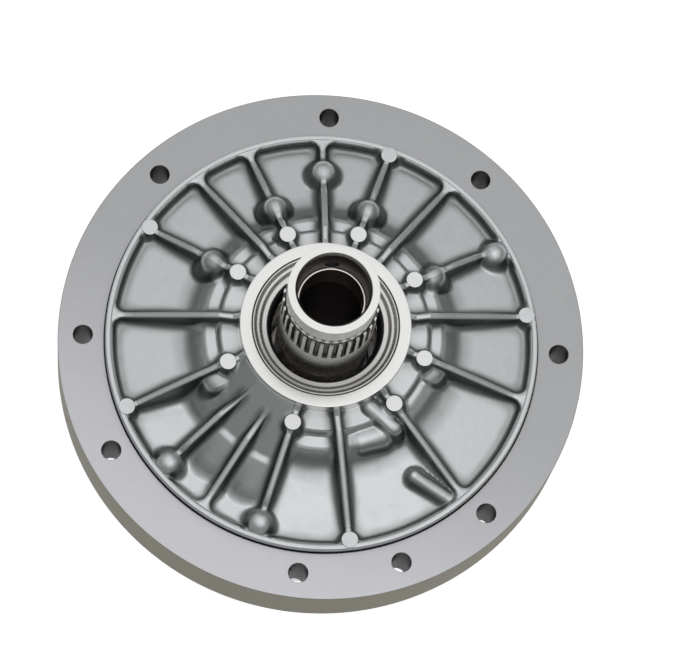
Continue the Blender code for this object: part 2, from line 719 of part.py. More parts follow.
def ramp_solid(bm, low_plan, high_plan, sides):
    """A cutter over a cone: its underside slopes from the inner arc to the outer arc."""
    low = [bm.verts.new(point) for point in low_plan]
    high = [bm.verts.new(point) for point in high_plan]
    count = len(low)
    for step in range(count):
        after = (step + 1) % count
        bm.faces.new((low[step], low[after], high[after], high[step]))
    bm.faces.new(high)
    for step in range(sides):
        bm.faces.new((low[step], low[count - 1 - step], low[count - 2 - step], low[step + 1]))


def dome(bm, radius, top, centre):
    """A ball-topped boss that flares a little down to the floor."""
    foot = Z_FLOOR - FIT_GAP
    ball = max(top - radius, foot + radius / 2)
    steps = [(radius * BOSS_FLARE, foot), (radius, foot + radius / 2), (radius, ball + FIT_GAP)]
    for rise in (40, 78):
        turn = math.radians(rise)
        steps.append((radius * math.cos(turn), ball + radius * math.sin(turn)))
    stacked(steps, BOSS_FACETS, bm, centre)


def pad(bm, circle_radius, angle, top):
    """A flat round ejector pad, with a tapered stalk into the casting."""
    steps = [(PAD_RADIUS * PAD_FLARE, Z_FLOOR - 2 * FIT_GAP), (PAD_RADIUS, top)]
    stacked(steps, BOSS_FACETS, bm, polar(circle_radius, angle))


def lobe_solid(ends, tops, width):
    """A low bar with round ends and a rounded top, over a cored passage."""
    along = ends[1] - ends[0]
    lean = math.degrees(math.atan2(along.y, along.x))
    rings = []
    for grow, drop in ((1.3, None), (1.0, 0.4), (0.6, 0.0)):
        ring = []
        for end, top, turn in ((ends[1], tops[1], -90.0), (ends[0], tops[0], 90.0)):
            z = Z_FLOOR - 3 * FIT_GAP if drop is None else top - drop * width
            for step in range(5):
                ring.append(end + polar(width * grow, lean + turn + 45.0 * step, z))
        rings.append(ring)
    bm = bmesh.new()
    loft(bm, rings)
    return bm


def crescent():
    """The filler between the gear tips, on the side away from the mesh."""
    drive_tip = DRIVE_PITCH + ADDENDUM * MODULE + RUNNING_GAP
    ring_tip = DRIVEN_PITCH - ADDENDUM * MODULE - RUNNING_GAP
    inside = []
    outside = []
    for step in range(-CRESCENT_STEPS, CRESCENT_STEPS + 1):
        angle = OFFSET_ANGLE + CRESCENT_HALF_SWEEP * step / CRESCENT_STEPS
        ray = polar(1.0, angle)
        along = ray.dot(OFFSET_CENTRE)
        reach = along + math.sqrt(along * along - GEAR_OFFSET**2 + ring_tip**2)
        if reach - drive_tip >= CRESCENT_END_THICKNESS:
            inside.append(ray * drive_tip)
            outside.append(ray * reach)
    plan = outside + list(reversed(inside))
    return prism(plan, Z_SEAT + FIT_GAP, Z_ROOF + POCKET_ROOF / 2)


def stator_tube(materials):
    """The splined steel tube that holds the converter's stator, pressed into the control body."""
    z_collar = Z_TIP - COLLAR_LENGTH
    z_spline = z_collar - COLLAR_GROOVE - SPLINE_LENGTH
    mouth_floor = Z_TIP - MOUTH_DEPTH
    bushing_room = BUSHING_LENGTH + 2 * FIT_GAP
    outline = [
        (BUSHING_SEAT, TUBE_END_SETBACK),
        (TUBE_RADIUS, TUBE_END_SETBACK),
        (TUBE_RADIUS, Z_SEAT - TUBE_SHOULDER_THICKNESS),
        (TUBE_SHOULDER_RADIUS, Z_SEAT - TUBE_SHOULDER_THICKNESS),
        (TUBE_SHOULDER_RADIUS, Z_SEAT - FIT_GAP),
        (TUBE_RADIUS, Z_SEAT - FIT_GAP),
        (TUBE_RADIUS, z_collar - COLLAR_GROOVE),
        (COLLAR_RADIUS - COLLAR_GROOVE_DEPTH, z_collar - COLLAR_GROOVE),
        (COLLAR_RADIUS - COLLAR_GROOVE_DEPTH, z_collar),
        (COLLAR_RADIUS, z_collar),
        (COLLAR_RADIUS, Z_TIP - HUB_CHAMFER),
        (COLLAR_RADIUS - HUB_CHAMFER, Z_TIP),
        (MOUTH_RADIUS, Z_TIP),
        (MOUTH_RADIUS, mouth_floor),
        (BUSHING_SEAT, mouth_floor),
        (BUSHING_SEAT, mouth_floor - bushing_room),
        (TUBE_BORE, mouth_floor - bushing_room),
        (TUBE_BORE, TUBE_END_SETBACK + bushing_room),
        (BUSHING_SEAT, TUBE_END_SETBACK + bushing_room),
    ]
    tube = add_object("stator_tube", turned(outline, TUBE_FACETS), materials["steel"])

    grooves = bmesh.new()
    root = TUBE_RADIUS - SPLINE_DEPTH
    out = TUBE_RADIUS + FIT_GAP
    half = 90.0 / SPLINE_COUNT
    for index in range(SPLINE_COUNT):
        angle = 360.0 * (index + 0.5) / SPLINE_COUNT
        plan = [
            polar(root, angle - 0.7 * half),
            polar(out, angle - half),
            polar(out, angle + half),
            polar(root, angle + 0.7 * half),
        ]
        loft(grooves, [level(plan, z_spline), level(plan, z_collar - COLLAR_GROOVE / 2)])
    shape(tube, "DIFFERENCE", add_tool("spline_grooves", grooves))

    hole = stacked([(OIL_HOLE_RADIUS, 0.0), (OIL_HOLE_RADIUS, TUBE_RADIUS + PAST)], SMALL_FACETS)
    drill = add_tool("tube_oil_hole", hole, (0.0, 0.0, Z_TIP - OIL_HOLE_DEPTH))
    drill.rotation_euler = (math.radians(-90.0), 0.0, 0.0)
    shape(tube, "DIFFERENCE", drill)

    lows = {
        "stator_front_bushing": mouth_floor - FIT_GAP - BUSHING_LENGTH,
        "stator_rear_bushing": TUBE_END_SETBACK + FIT_GAP,
    }
    for name, low in lows.items():
        outline = bush_outline(BUSHING_INNER_RADIUS, BUSHING_WALL, low, BUSHING_LENGTH)
        add_object(name, turned(outline, RING_FACETS), materials["bronze"])


def bush_outline(inner, wall, low, length):
    """A plain bushing with a lead-in at the top of its bore."""
    outer = inner + wall
    high = low + length
    return [
        (inner, low),
        (outer, low),
        (outer, high),
        (inner + wall / 3, high),
        (inner, high - wall / 3),
    ]


def hub_bushing(materials):
    outline = bush_outline(HUB_BUSHING_INNER, HUB_BUSHING_WALL, Z_ROOF + FIT_GAP, HUB_BUSHING_LENGTH)
    add_object("hub_bushing", turned(outline, RING_FACETS), materials["bronze"])


def control_body_seals(materials):
    """The case seal, the split rings on the rear hub and the thrust washer behind the flange."""
    wire = O_RING_WIRE / 2
    section = torus_outline(SPIGOT_RADIUS + O_RING_PROUD - wire, wire, Z_O_RING, 6)
    add_object("case_o_ring", turned(section, CASTING_FACETS), materials["rubber"])

    inner = REAR_HUB_RADIUS - SEALING_RING_DEPTH + FIT_GAP
    outer = REAR_HUB_RADIUS + SEALING_RING_PROUD
    for index in range(SEALING_RING_COUNT):
        z = SEALING_RING_FIRST + index * SEALING_RING_PITCH
        low = z - SEALING_RING_WIDTH / 2
        high = z + SEALING_RING_WIDTH / 2
        ring = [(inner, low), (outer, low), (outer, high), (inner, high)]
        add_object(f"sealing_ring_{index + 1}", turned(ring, RING_FACETS), materials["ring_iron"])

    high = Z_SPIGOT - FIT_GAP
    low = high - THRUST_WASHER_THICKNESS
    inner = REAR_HUB_RADIUS + FIT_GAP
    outer = inner + THRUST_WASHER_WIDTH
    washer = add_object(
        "thrust_washer",
        turned([(inner, low), (outer, low), (outer, high), (inner, high)], RING_FACETS),
        materials["nylon"],
    )
    grooves = bmesh.new()
    half = WASHER_GROOVE_WIDTH / 2
    for index in range(WASHER_GROOVE_COUNT):
        turn = Matrix.Rotation(math.tau * (index + 0.5) / WASHER_GROOVE_COUNT, 4, "Z")
        plan = [
            turn @ Vector((inner - PAST, -half, 0.0)),
            turn @ Vector((outer + PAST, -half, 0.0)),
            turn @ Vector((outer + PAST, half, 0.0)),
            turn @ Vector((inner - PAST, half, 0.0)),
        ]
        loft(grooves, [level(plan, low - PAST), level(plan, low + WASHER_GROOVE_DEPTH)])
    shape(washer, "DIFFERENCE", add_tool("washer_oil_grooves", grooves))


def body_fasteners(materials):
    """Hex bolts from the rear into the pump body's bosses, and two dowels between the bodies."""
    bolt = bmesh.new()
    corners = 12
    flats = BOLT_HEAD_FLATS / 2
    hexagon = []
    for step in range(corners):
        turn = math.tau * step / corners
        reach = flats / math.cos(math.pi / 6) if step % 2 == 0 else flats
        hexagon.append((reach * math.cos(turn), reach * math.sin(turn)))
    top = Z_HEAD_SEAT - FIT_GAP
    tip = Z_SEAT + BOLT_THREAD_DEPTH
    crown = [Vector(point) * 0.86 for point in hexagon]
    loft(
        bolt,
        [
            level(crown, top - BOLT_HEAD_HEIGHT),
            level(hexagon, top - BOLT_HEAD_HEIGHT + BOLT_LEAD),
            level(hexagon, top),
            circle(BOLT_RADIUS, top, corners),
            circle(BOLT_RADIUS, tip - BOLT_LEAD, corners),
            circle(BOLT_RADIUS - BOLT_LEAD, tip, corners),
        ],
    )
    first = None
    for index, (radius, angle) in enumerate(BOLT_PLACES):
        name = f"body_bolt_{index + 1}"
        place = polar(radius, angle)
        if first is None:
            first = add_object(name, bolt, materials["steel"], place)
            continue
        copy = bpy.data.objects.new(name, first.data)
        copy.location = place
        bpy.context.scene.collection.objects.link(copy)

    low = Z_SEAT - DOWEL_HALF_LENGTH
    high = Z_SEAT + DOWEL_HALF_LENGTH
    for index, angle in enumerate(DOWEL_ANGLES):
        steps = [
            (DOWEL_RADIUS - DOWEL_LEAD, low),
            (DOWEL_RADIUS, low + DOWEL_LEAD),
            (DOWEL_RADIUS, high - DOWEL_LEAD),
            (DOWEL_RADIUS - DOWEL_LEAD, high),
        ]
        place = polar(DOWEL_CIRCLE, angle)
        add_object(f"body_dowel_{index + 1}", stacked(steps, SMALL_FACETS), materials["steel"], place)


def gears(materials):
    """The drive gear with its two lugs, on the axis, and the ring gear in the offset pocket."""
    low = Z_SEAT + FIT_GAP
    high = low + GEAR_WIDTH
    drive_outline = involute_gear(
        DRIVE_TEETH,
        DRIVE_PITCH + ADDENDUM * MODULE,
        DRIVE_PITCH - DEDENDUM * MODULE,
        BACKLASH,
    )
    drive = add_object("drive_gear", prism(turn_outline(drive_outline, MESH_ANGLE), low, high), materials["gear"])
    bore = []
    for side in (0.0, 180.0):
        for step in range(9):
            sweep = 180.0 - 2 * LUG_HALF_SWEEP
            bore.append(polar(DRIVE_BORE, side + LUG_HALF_SWEEP + sweep * step / 8))
        for shift in (-LUG_HALF_SWEEP, LUG_HALF_SWEEP):
            bore.append(polar(DRIVE_BORE - LUG_REACH, side + 180.0 + 0.8 * shift))
    shape(drive, "DIFFERENCE", add_tool("drive_gear_bore", prism(bore, low - PAST, high + PAST)))

    rim = bmesh.new()
    stacked([(DRIVEN_RADIUS, low), (DRIVEN_RADIUS, high)], CASTING_FACETS, rim)
    driven = add_object("driven_gear", rim, materials["gear"], OFFSET_CENTRE)
    space_outline = involute_gear(
        DRIVEN_TEETH,
        DRIVEN_PITCH + ADDENDUM * MODULE + BACKLASH,
        DRIVEN_PITCH - ADDENDUM * MODULE,
        -BACKLASH,
    )
    spaces = prism(turn_outline(space_outline, MESH_ANGLE), low - PAST, high + PAST)
    shape(driven, "DIFFERENCE", add_tool("driven_gear_spaces", spaces, OFFSET_CENTRE))


def bore_mouth(train):
    """Distance from the axis, along X, of a valve bore's mouth on the spigot wall."""
    return -train["inward"] * math.sqrt(SPIGOT_RADIUS**2 - train["y"] ** 2)


def bore_axis(name, train):
    """An empty on a valve bore's axis at its mouth, its Z pointing into the bore."""
    axis = bpy.data.objects.new(name, None)
    axis.location = (bore_mouth(train), train["y"], Z_VALVES)
    axis.rotation_euler = (0.0, math.radians(90.0 * train["inward"]), 0.0)
    bpy.context.scene.collection.objects.link(axis)
    return axis


def spool(start, train):
    """A spool valve: equal lands on a thinner stem, from a start depth down its bore.

    Its nose rests on the bore's end, which leaves room there for oil to push on the last land.
    """
    lands = train["lands"]
    pitch = train["valve"] / (2 * lands - 1)
    steps = []
    for index in range(lands):
        low = start + 2 * index * pitch
        steps += [(LAND_RADIUS, low), (LAND_RADIUS, low + pitch)]
        reach = pitch if index < lands - 1 else BORE_END_ROOM - FIT_GAP
        steps += [(STEM_RADIUS, low + pitch), (STEM_RADIUS, low + pitch + reach)]
    return stacked(steps, SMALL_FACETS)


def coil_spring(name, train, start, axis, material):
    """A compression spring as one helix of round wire, from a start depth down its bore."""
    length = train["spring"] - 2 * SPRING_WIRE
    count = train["curls"] * POINTS_PER_CURL
    points = []
    for step in range(count + 1):
        turn = math.tau * step / POINTS_PER_CURL
        z = start + SPRING_WIRE + length * step / count
        points.append(Vector((SPRING_RADIUS * math.cos(turn), SPRING_RADIUS * math.sin(turn), z)))
    curve = bpy.data.curves.new(name, "CURVE")
    curve.dimensions = "3D"
    curve.bevel_depth = SPRING_WIRE
    curve.bevel_resolution = 1
    curve.use_fill_caps = True
    spline = curve.splines.new("POLY")
    spline.points.add(len(points) - 1)
    for slot, point in zip(spline.points, points):
        slot.co = (*point, 1.0)
    curve.materials.append(material)
    made = bpy.data.objects.new(name, curve)
    made.parent = axis
    bpy.context.scene.collection.objects.link(made)
    apart = POINTS_PER_CURL // 2
    pairs = ((points[i] - points[j]).length for i in range(count) for j in range(i + apart, count + 1))
    print(f"{name}: least gap to itself {1000 * (min(pairs) - 2 * SPRING_WIRE):.2f} mm")


def retainer(name, train, body, materials):
    """A flat plate slid into a slot from the rear face, which keeps a valve train in its bore."""
    x = bore_mouth(train) + train["inward"] * (RETAINER_SETBACK + RETAINER_THICKNESS / 2)
    top = Z_VALVES + VALVE_BORE_RADIUS * 0.6
    low = Z_SPIGOT + FIT_GAP
    half_thick = RETAINER_THICKNESS / 2
    half_wide = RETAINER_WIDTH / 2

    def plan(grow):
        across = half_thick + grow
        along = half_wide + grow
        return [(-across, -along), (across, -along), (across, along), (-across, along)]

    slot = prism(plan(FIT_GAP), Z_SPIGOT - PAST, top + FIT_GAP)
    shape(body, "DIFFERENCE", add_tool(name + "_slot", slot, (x, train["y"], 0.0)))
    add_object(name, prism(plan(0.0), low, top), materials["steel"], (x, train["y"], 0.0))


def valve_trains(body, materials):
    """The three spool valves with their springs, plugs and retainers, in bores along X."""
    after_retainer = RETAINER_SETBACK + RETAINER_THICKNESS + 2 * FIT_GAP
    steel = materials["steel"]

    trains = (
        ("regulator", REGULATOR, BOOST_SLEEVE_LENGTH),
        ("clutch_control", CLUTCH_CONTROL, PLUG_LENGTH),
        ("converter_feed", CONVERTER_FEED, PLUG_LENGTH),
    )
    for name, train, stop_length in trains:
        axis = bore_axis(name + "_axis", train)
        spring_start = after_retainer + stop_length + FIT_GAP
        valve_start = spring_start + train["spring"] + FIT_GAP
        bore_end = valve_start + train["valve"] + BORE_END_ROOM
        bore = stacked([(VALVE_BORE_RADIUS, -MOUNT_LEDGE), (VALVE_BORE_RADIUS, bore_end)], SMALL_FACETS)
        shape(body, "DIFFERENCE", add_tool(name + "_bore", bore, parent=axis))
        retainer(name + "_retainer", train, body, materials)
        add_object(name + "_valve", spool(valve_start, train), materials["valve"], parent=axis)
        coil_spring(name + "_spring", train, spring_start, axis, materials["spring"])
        if name == "regulator":
            boost_parts(axis, after_retainer, materials)
            continue
        plug_ends = (after_retainer, after_retainer + stop_length)
        plug = stacked([(LAND_RADIUS, depth) for depth in plug_ends], SMALL_FACETS)
        add_object(name + "_plug", plug, steel, parent=axis)


def boost_parts(axis, start, materials):
    """The sleeve at the mouth of the regulator's bore, and the boost valve that slides in it."""
    end = start + BOOST_SLEEVE_LENGTH
    sleeve = [(BOOST_BORE, start), (LAND_RADIUS, start), (LAND_RADIUS, end), (BOOST_BORE, end)]
    add_object("boost_sleeve", turned(sleeve, SMALL_FACETS), materials["valve"], parent=axis)
    head = end - BOOST_STEM_LENGTH
    steps = [
        (BOOST_VALVE_RADIUS, start + FIT_GAP),
        (BOOST_VALVE_RADIUS, head),
        (BOOST_STEM_RADIUS, head),
        (BOOST_STEM_RADIUS, end + BOOST_STEM_LENGTH),
    ]
    add_object("boost_valve", stacked(steps, SMALL_FACETS), materials["valve"], parent=axis)


def make_materials():
    return {
        "machined": make_material("machined_aluminium", (0.40, 0.40, 0.41), 0.45, 0.9),
        "cast": make_material("cast_aluminium", (0.42, 0.43, 0.42), 0.55, 0.85),
        "steel": make_material("bright_steel", (0.62, 0.61, 0.59), 0.28, 1.0),
        "gear": make_material("gear_steel", (0.33, 0.33, 0.34), 0.35, 1.0),
        "valve": make_material("anodised_valve", (0.45, 0.44, 0.42), 0.35, 1.0),
        "spring": make_material("spring_steel", (0.25, 0.25, 0.26), 0.35, 1.0),
        "bronze": make_material("bushing_bronze", (0.55, 0.42, 0.25), 0.35, 1.0),
        "ring_iron": make_material("ring_iron", (0.16, 0.16, 0.16), 0.4, 0.8),
        "rubber": make_material("seal_rubber", (0.012, 0.012, 0.013), 0.6, 0.0),
        "nylon": make_material("washer_nylon", (0.55, 0.50, 0.40), 0.5, 0.0),
    }


def main():
    clear_scene()
    materials = make_materials()
    body = control_body(materials)
    pump_body(materials)
    seal_parts(materials)
    hub_bushing(materials)
    stator_tube(materials)
    control_body_seals(materials)
    body_fasteners(materials)
    gears(materials)
    valve_trains(body, materials)


main()
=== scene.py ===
"""Detailed Blender model of a gearbox's front oil pump, built over the frame of its CAD part."""

import math

import bpy
import numpy as np
from mathutils import Matrix, Vector


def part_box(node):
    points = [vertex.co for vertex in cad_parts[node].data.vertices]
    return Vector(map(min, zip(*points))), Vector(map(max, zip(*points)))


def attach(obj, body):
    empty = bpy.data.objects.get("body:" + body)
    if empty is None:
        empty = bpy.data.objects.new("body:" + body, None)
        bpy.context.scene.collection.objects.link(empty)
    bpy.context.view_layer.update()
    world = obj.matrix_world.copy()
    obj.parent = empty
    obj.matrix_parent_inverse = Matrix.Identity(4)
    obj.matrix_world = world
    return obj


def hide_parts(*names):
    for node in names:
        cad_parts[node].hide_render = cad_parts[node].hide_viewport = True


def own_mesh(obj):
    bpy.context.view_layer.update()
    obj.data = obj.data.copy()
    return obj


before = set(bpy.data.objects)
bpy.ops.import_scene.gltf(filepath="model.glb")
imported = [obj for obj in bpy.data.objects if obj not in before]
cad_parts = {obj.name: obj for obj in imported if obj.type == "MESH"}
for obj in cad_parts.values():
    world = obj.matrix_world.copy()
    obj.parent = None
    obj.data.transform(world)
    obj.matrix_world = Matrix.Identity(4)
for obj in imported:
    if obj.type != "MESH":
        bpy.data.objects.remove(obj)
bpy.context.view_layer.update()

bl_info = {
    "name": "Front oil pump",
    "version": (1, 0, 0),
    "blender": (4, 5, 0),
    "location": "View3D > Sidebar > Oil Pump",
    "description": "Builds the detailed pump over its CAD frame",
    "category": "Object",
}


def top_of(node):
    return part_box(node)[1].z


def foot_of(node):
    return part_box(node)[0].z


# Heights, taken from the frame
FLANGE_TOP = top_of("control_body")
BODY_FOOT = foot_of("pump_body")
HUB_TOP = top_of("pump_body")
TUBE_FOOT = foot_of("stator_tube")
TUBE_TIP = top_of("stator_tube")
SEAL_FOOT = foot_of("seal_case")
SEAL_TOP = top_of("seal_case")
WASHER_FOOT = foot_of("thrust_washer")

# Heights worked out from the flange and the hub
FLANGE_FOOT = FLANGE_TOP - 0.034
SPIGOT_FOOT = FLANGE_TOP - 0.058
SEAT = FLANGE_TOP - 0.026
RIM_TOP = FLANGE_TOP + 0.005
GAP_TOP = FLANGE_TOP + 0.0018
FLOOR = FLANGE_TOP - 0.002
FLOOR_RISE = 0.0105
ROOF = FLANGE_TOP - 0.0116
VALVE_HEIGHT = SPIGOT_FOOT + 0.008
RIB_TOP_AT_HUB = HUB_TOP - 0.002
RIB_TOP_AT_PADS = FLANGE_TOP + 0.0250

# Radii of the two bodies
FLANGE_RADIUS = 0.135
SPIGOT_RADIUS = 0.113
REAR_HUB_RADIUS = 0.034
TUBE_SEAT = 0.0242
SHOULDER_SEAT = 0.0275
RECESS_RADIUS = 0.1113
BODY_RADIUS = 0.111
RIM_INNER = 0.107
HUB_RADIUS = 0.0435
SEAL_SEAT = 0.0373
HUB_BORE = 0.0298
GEAR_POCKET_RADIUS = 0.0564
GEAR_POCKET_CENTRE = (0.001392, -0.009903)
GEAR_OFFSET_ANGLE = -82.0
CRESCENT_INNER = 0.0394
CRESCENT_OUTER = 0.0426
CRESCENT_END = 0.0036
CRESCENT_ROOM = 0.06

# Places on the two bodies, as a radius in metres and an angle in degrees
CASE_HOLE_CIRCLE = 0.1222
CASE_HOLE_ANGLES = (88.3, 47.3, -2.0, -46.8, -70.7, -95.5, 209.3, 179.5, 133.6)
BOLT_PLACES = (
    (0.0882, 90.0),
    (0.1010, 28.3),
    (0.1020, 220.6),
    (0.1016, -108.0),
    (0.0691, 147.0),
    (0.0722, 110.6),
    (0.0700, 71.0),
    (0.0658, 25.5),
)
DOME_PLACES = (*BOLT_PLACES[:4], (0.0668, 147.9), (0.0704, 110.8), (0.0685, 70.9), (0.0640, 28.8))
DOWEL_PLACES = ((0.100, 8.0), (0.100, 163.0))
REAR_PORT_PLACES = ((0.0773, 172.0), (0.0773, -4.0))
KNOB_PLACES = ((0.0610, 205.4), (0.0588, -19.1))
PAD_CIRCLE = 0.0526
PAD_ANGLES = (111.4, 71.2, 147.6, 29.9, -17.0, -48.5, -108.0, 201.4)
RIM_PAD_CIRCLE = 0.1062
RIM_PAD_ANGLES = (147.0, 71.0, 8.0, -82.5, 201.0)
RIB_ANGLES = (8, 29.5, 52, 71, 90, 111, 127, 147, 174, 201, 220.5, 236, 252, 277.5, 311.5, 344)
FADING_RIBS = (220.5, 236.0)
RAMP_START = 201.0
SHORT_RAMP_END = 220.5
RAMP_END = 252.0
NARROW_SHELF = (311.5, 344.0)

# Forms of the casting: domes, knobs, shelves, ramps and pads
DOME_PROUD = (0.0036, 0.0032, 0.0034, 0.0034, 0.0028, 0.0026, 0.0026, -0.0004)
KNOB_RADIUS = 0.0072
KNOB_DROP = 0.0042
NARROWER = 0.0026
DIP_REACH = 0.0140
LOW_SHELF_START = 0.0550
LOW_SHELF_END = 0.061
FADE_START = 0.0500
FADE_LENGTH = 0.0200
TONGUE_START = 0.0760
TONGUE_LENGTH = 0.0120
PAD_SINK = 0.0005
PAD_DEPTH = 0.006
STEEP = 3.6
SHOULDER = 0.95
SOFT_PASSES = 2
FILLET_SHARE = 0.6

# How softly raised forms run out, as a share of the floor fillet
RAISED_SOFT = 0.6
KNOB_SOFT = 1.2
PAD_SOFT = 0.5

# Darker ramps and rib tops, and painted shade on the slope below the shelves: radius and darkness
RAMP_DARK = (
    (0.0500, 0.42),
    (0.0695, 0.42),
    (0.0710, 0.10),
    (0.0728, 0.10),
    (0.0745, 0.52),
    (0.0915, 0.52),
    (0.0945, 0.0),
)
SHORT_RAMP_DARK = ((0.0500, 0.42), (0.0620, 0.42), (0.0740, 0.0))
SLOPE_SHADE = ((0.0606, 0.0), (0.0632, 0.58), (0.0680, 0.58), (0.0780, 0.0))
RIB_TOP_DARK = ((0.0560, 0.0), (0.0620, 0.20), (0.0960, 0.20), (0.1010, 0.08))

# Painted shade on the casting: darkness along walls and on steep faces, and a slightly darker rim
WALL_SHADE = 0.84
STEEP_SHADE = 0.95
STEEP_GAIN = 2.0
STEEP_START = 0.32
RIM_SHADE = 0.08
SHADE_DEPTH = 0.006
SCOOP_NARROWER = 3

# Rounded bars on the casting: two ends, how far the top lies under the ribs, and half the width
CAST_BARS = (
    ((0.0462, -60.0), (0.0616, -54.3), 0.0016, 0.0046),
    ((0.0585, -71.0), (0.0600, -61.0), 0.0062, 0.0076),
    ((0.1044, -51.9), (0.0857, -57.1), 0.0018, 0.0043),
)

# Shelves round the hub, and the ramps that take their place on one side: radius and height
BELOW_FLOOR = FLOOR - 0.0100
SHELF_LINE = (
    (0.0400, FLANGE_TOP + 0.0200),
    (0.0523, FLANGE_TOP + 0.0197),
    (0.0530, FLANGE_TOP + 0.0190),
    (0.0546, FLANGE_TOP + 0.0160),
    (0.0552, FLANGE_TOP + 0.0154),
    (0.0600, FLANGE_TOP + 0.0150),
    (0.0620, FLANGE_TOP + 0.0138),
    (0.0720, FLANGE_TOP + 0.0010),
    (0.0790, BELOW_FLOOR),
)
RAMP_LINE = (
    (0.0400, HUB_TOP - 0.0020),
    (0.0440, HUB_TOP - 0.0040),
    (0.0705, FLANGE_TOP + 0.0098),
    (0.0735, FLANGE_TOP + 0.0092),
    (0.0870, FLANGE_TOP + 0.0031),
    (0.0890, FLANGE_TOP + 0.0020),
    (0.0910, FLANGE_TOP + 0.0006),
    (0.0930, FLANGE_TOP - 0.0012),
    (0.0950, FLANGE_TOP - 0.0036),
    (0.0970, FLANGE_TOP - 0.0066),
    (0.0990, BELOW_FLOOR),
)
SHORT_RAMP_LINE = (
    (0.0400, HUB_TOP - 0.0020),
    (0.0440, HUB_TOP - 0.0040),
    (0.0620, FLANGE_TOP + 0.0135),
    (0.0740, FLANGE_TOP + 0.0020),
    (0.0840, BELOW_FLOOR),
)

# Tops of the ribs, from the hub to the rim: radius and height
RIB_LINE = (
    (0.0435, RIB_TOP_AT_HUB),
    (0.0468, RIB_TOP_AT_PADS),
    (0.0540, RIB_TOP_AT_PADS - 0.0002),
    (0.0990, RIM_TOP + 0.0012),
    (0.1020, RIM_TOP + 0.0002),
    (RIM_INNER, RIM_TOP),
)

# The casting's grid: rings as a number and a radius, and columns as distances from a rib's middle
RING_STOPS = (
    (0, 0.0405),
    (12, 0.0500),
    (26, 0.0560),
    (33, 0.0600),
    (51, 0.0700),
    (91, 0.0980),
    (113, 0.1095),
)
NEAR_RIB = (0.0, 0.0008, 0.0013, 0.0016, 0.0019, 0.0022, 0.0025, 0.0029)
BESIDE_RIB = (0.0033, 0.0038, 0.0044, 0.0051, 0.0059, 0.0068, 0.0078, 0.0090)
RIB_COLUMNS = (*NEAR_RIB, *BESIDE_RIB)
COLUMN_ROOM = 0.9
BAY_STEP = 0.0010
BAY_RADIUS = 0.090

# Where the casting's grid meets the turned base
GRID_FOOT = FLOOR - 0.0030
GRID_UNDER_RIM = RIM_INNER + 0.0014
BASE_TOP = FLOOR - 0.0008
RIM_WALL = RIM_INNER + 0.0012
RIM_EDGE = RIM_INNER + 0.0010
RIM_LEAN = 0.0004

# Holes, grooves and seats of the two bodies
CASE_HOLE_RADIUS = 0.005
CASE_HOLE_LEAD = 0.0002
BOLT_HOLE = 0.0043
BOLT_HOLE_TOP = ROOF + 0.0095
HEAD_ROOM = 0.009
HEAD_ROOM_DEPTH = 0.0062
DOWEL_HOLE = 0.0043
DOWEL_DEPTH = 0.0085
REAR_PORT = 0.007
RING_GROOVE = 0.0308
O_RING_GROOVE = 0.1099
O_RING_GROOVE_FOOT = FLANGE_FOOT - 0.0075
O_RING_GROOVE_TOP = FLANGE_FOOT - 0.0029
SHOULDER_FOOT = SEAT - 0.0053

# Stator tube: radii, heights and splines
TUBE_RADIUS = 0.0239
TUBE_FLANGE = 0.0272
TUBE_COLLAR = 0.0227
TUBE_RELIEF = 0.0219
TUBE_MOUTH = 0.0178
TUBE_BORE = 0.0168
BUSHING_SEAT = 0.0175
TUBE_FLANGE_FOOT = SEAT - 0.0050
TUBE_FLANGE_TOP = SEAT - 0.0003
REAR_SEAT_TOP = TUBE_FOOT + 0.0206
FRONT_SEAT_FOOT = TUBE_TIP - 0.0386
MOUTH_FOOT = TUBE_TIP - 0.0180
MOUTH_LEAD = 0.0012
MOUTH_LEAD_FOOT = TUBE_TIP - 0.0018
COLLAR_FOOT = TUBE_TIP - 0.0115
TIP_FACE = TUBE_TIP - 0.0006
TUBE_ROUND = 0.0004
SPLINE_ROOT = 0.0223
SPLINE_CORE = SPLINE_ROOT - 0.0012
SPLINE_FLANK = TUBE_RADIUS - 0.0006
SPLINE_FOOT = TUBE_TIP - 0.0387
SPLINE_TOP = TUBE_TIP - 0.0177
SPLINE_LEAD = 0.0010
SPLINE_TAPER = 0.965
SPLINE_GAP = (0.27, 0.73)
SPLINE_STEPS = 10
OIL_HOLE_RADIUS = 0.0036
OIL_HOLE_EDGE = 0.0038
OIL_HOLE_REACH = 0.04
OIL_HOLE_HEIGHT = TUBE_TIP - 0.0150

# Plain bushings: CAD node, piece, inner and outer radius
BUSHINGS = (
    ("stator_front_bushing", "front_bushing", 0.0160, 0.0172),
    ("stator_rear_bushing", "rear_bushing", 0.0160, 0.0172),
    ("hub_bushing", "converter_bushing", 0.0275, 0.0295),
)
BUSHING_ROUND = 0.0004

# Lip seal: outlines of its shell and its rubber, as radius and height
SHELL_OUTLINE = (
    (0.0356, SEAL_FOOT),
    (0.0370, SEAL_FOOT),
    (0.0370, SEAL_TOP),
    (0.0361, SEAL_TOP),
    (0.0349, SEAL_TOP - 0.0015),
    (0.0334, SEAL_TOP - 0.0016),
    (0.0321, SEAL_TOP - 0.0032),
    (0.0296, SEAL_TOP - 0.0033),
    (0.0296, SEAL_TOP - 0.0040),
    (0.0356, SEAL_TOP - 0.0040),
)
LIP_OUTLINE = (
    (0.0327, SEAL_FOOT),
    (0.0353, SEAL_FOOT),
    (0.0353, SEAL_FOOT + 0.0135),
    (0.0292, SEAL_FOOT + 0.0135),
    (0.0284, SEAL_FOOT + 0.0125),
    (0.0284, SEAL_FOOT + 0.0080),
    (0.0268, SEAL_FOOT + 0.0048),
    (0.0273, SEAL_FOOT + 0.0022),
    (0.0303, SEAL_FOOT + 0.0022),
    (0.0303, SEAL_FOOT + 0.0058),
    (0.0327, SEAL_FOOT + 0.0058),
)
SHELL_ROUND = 0.0004
GARTER_ROUND = 0.0001

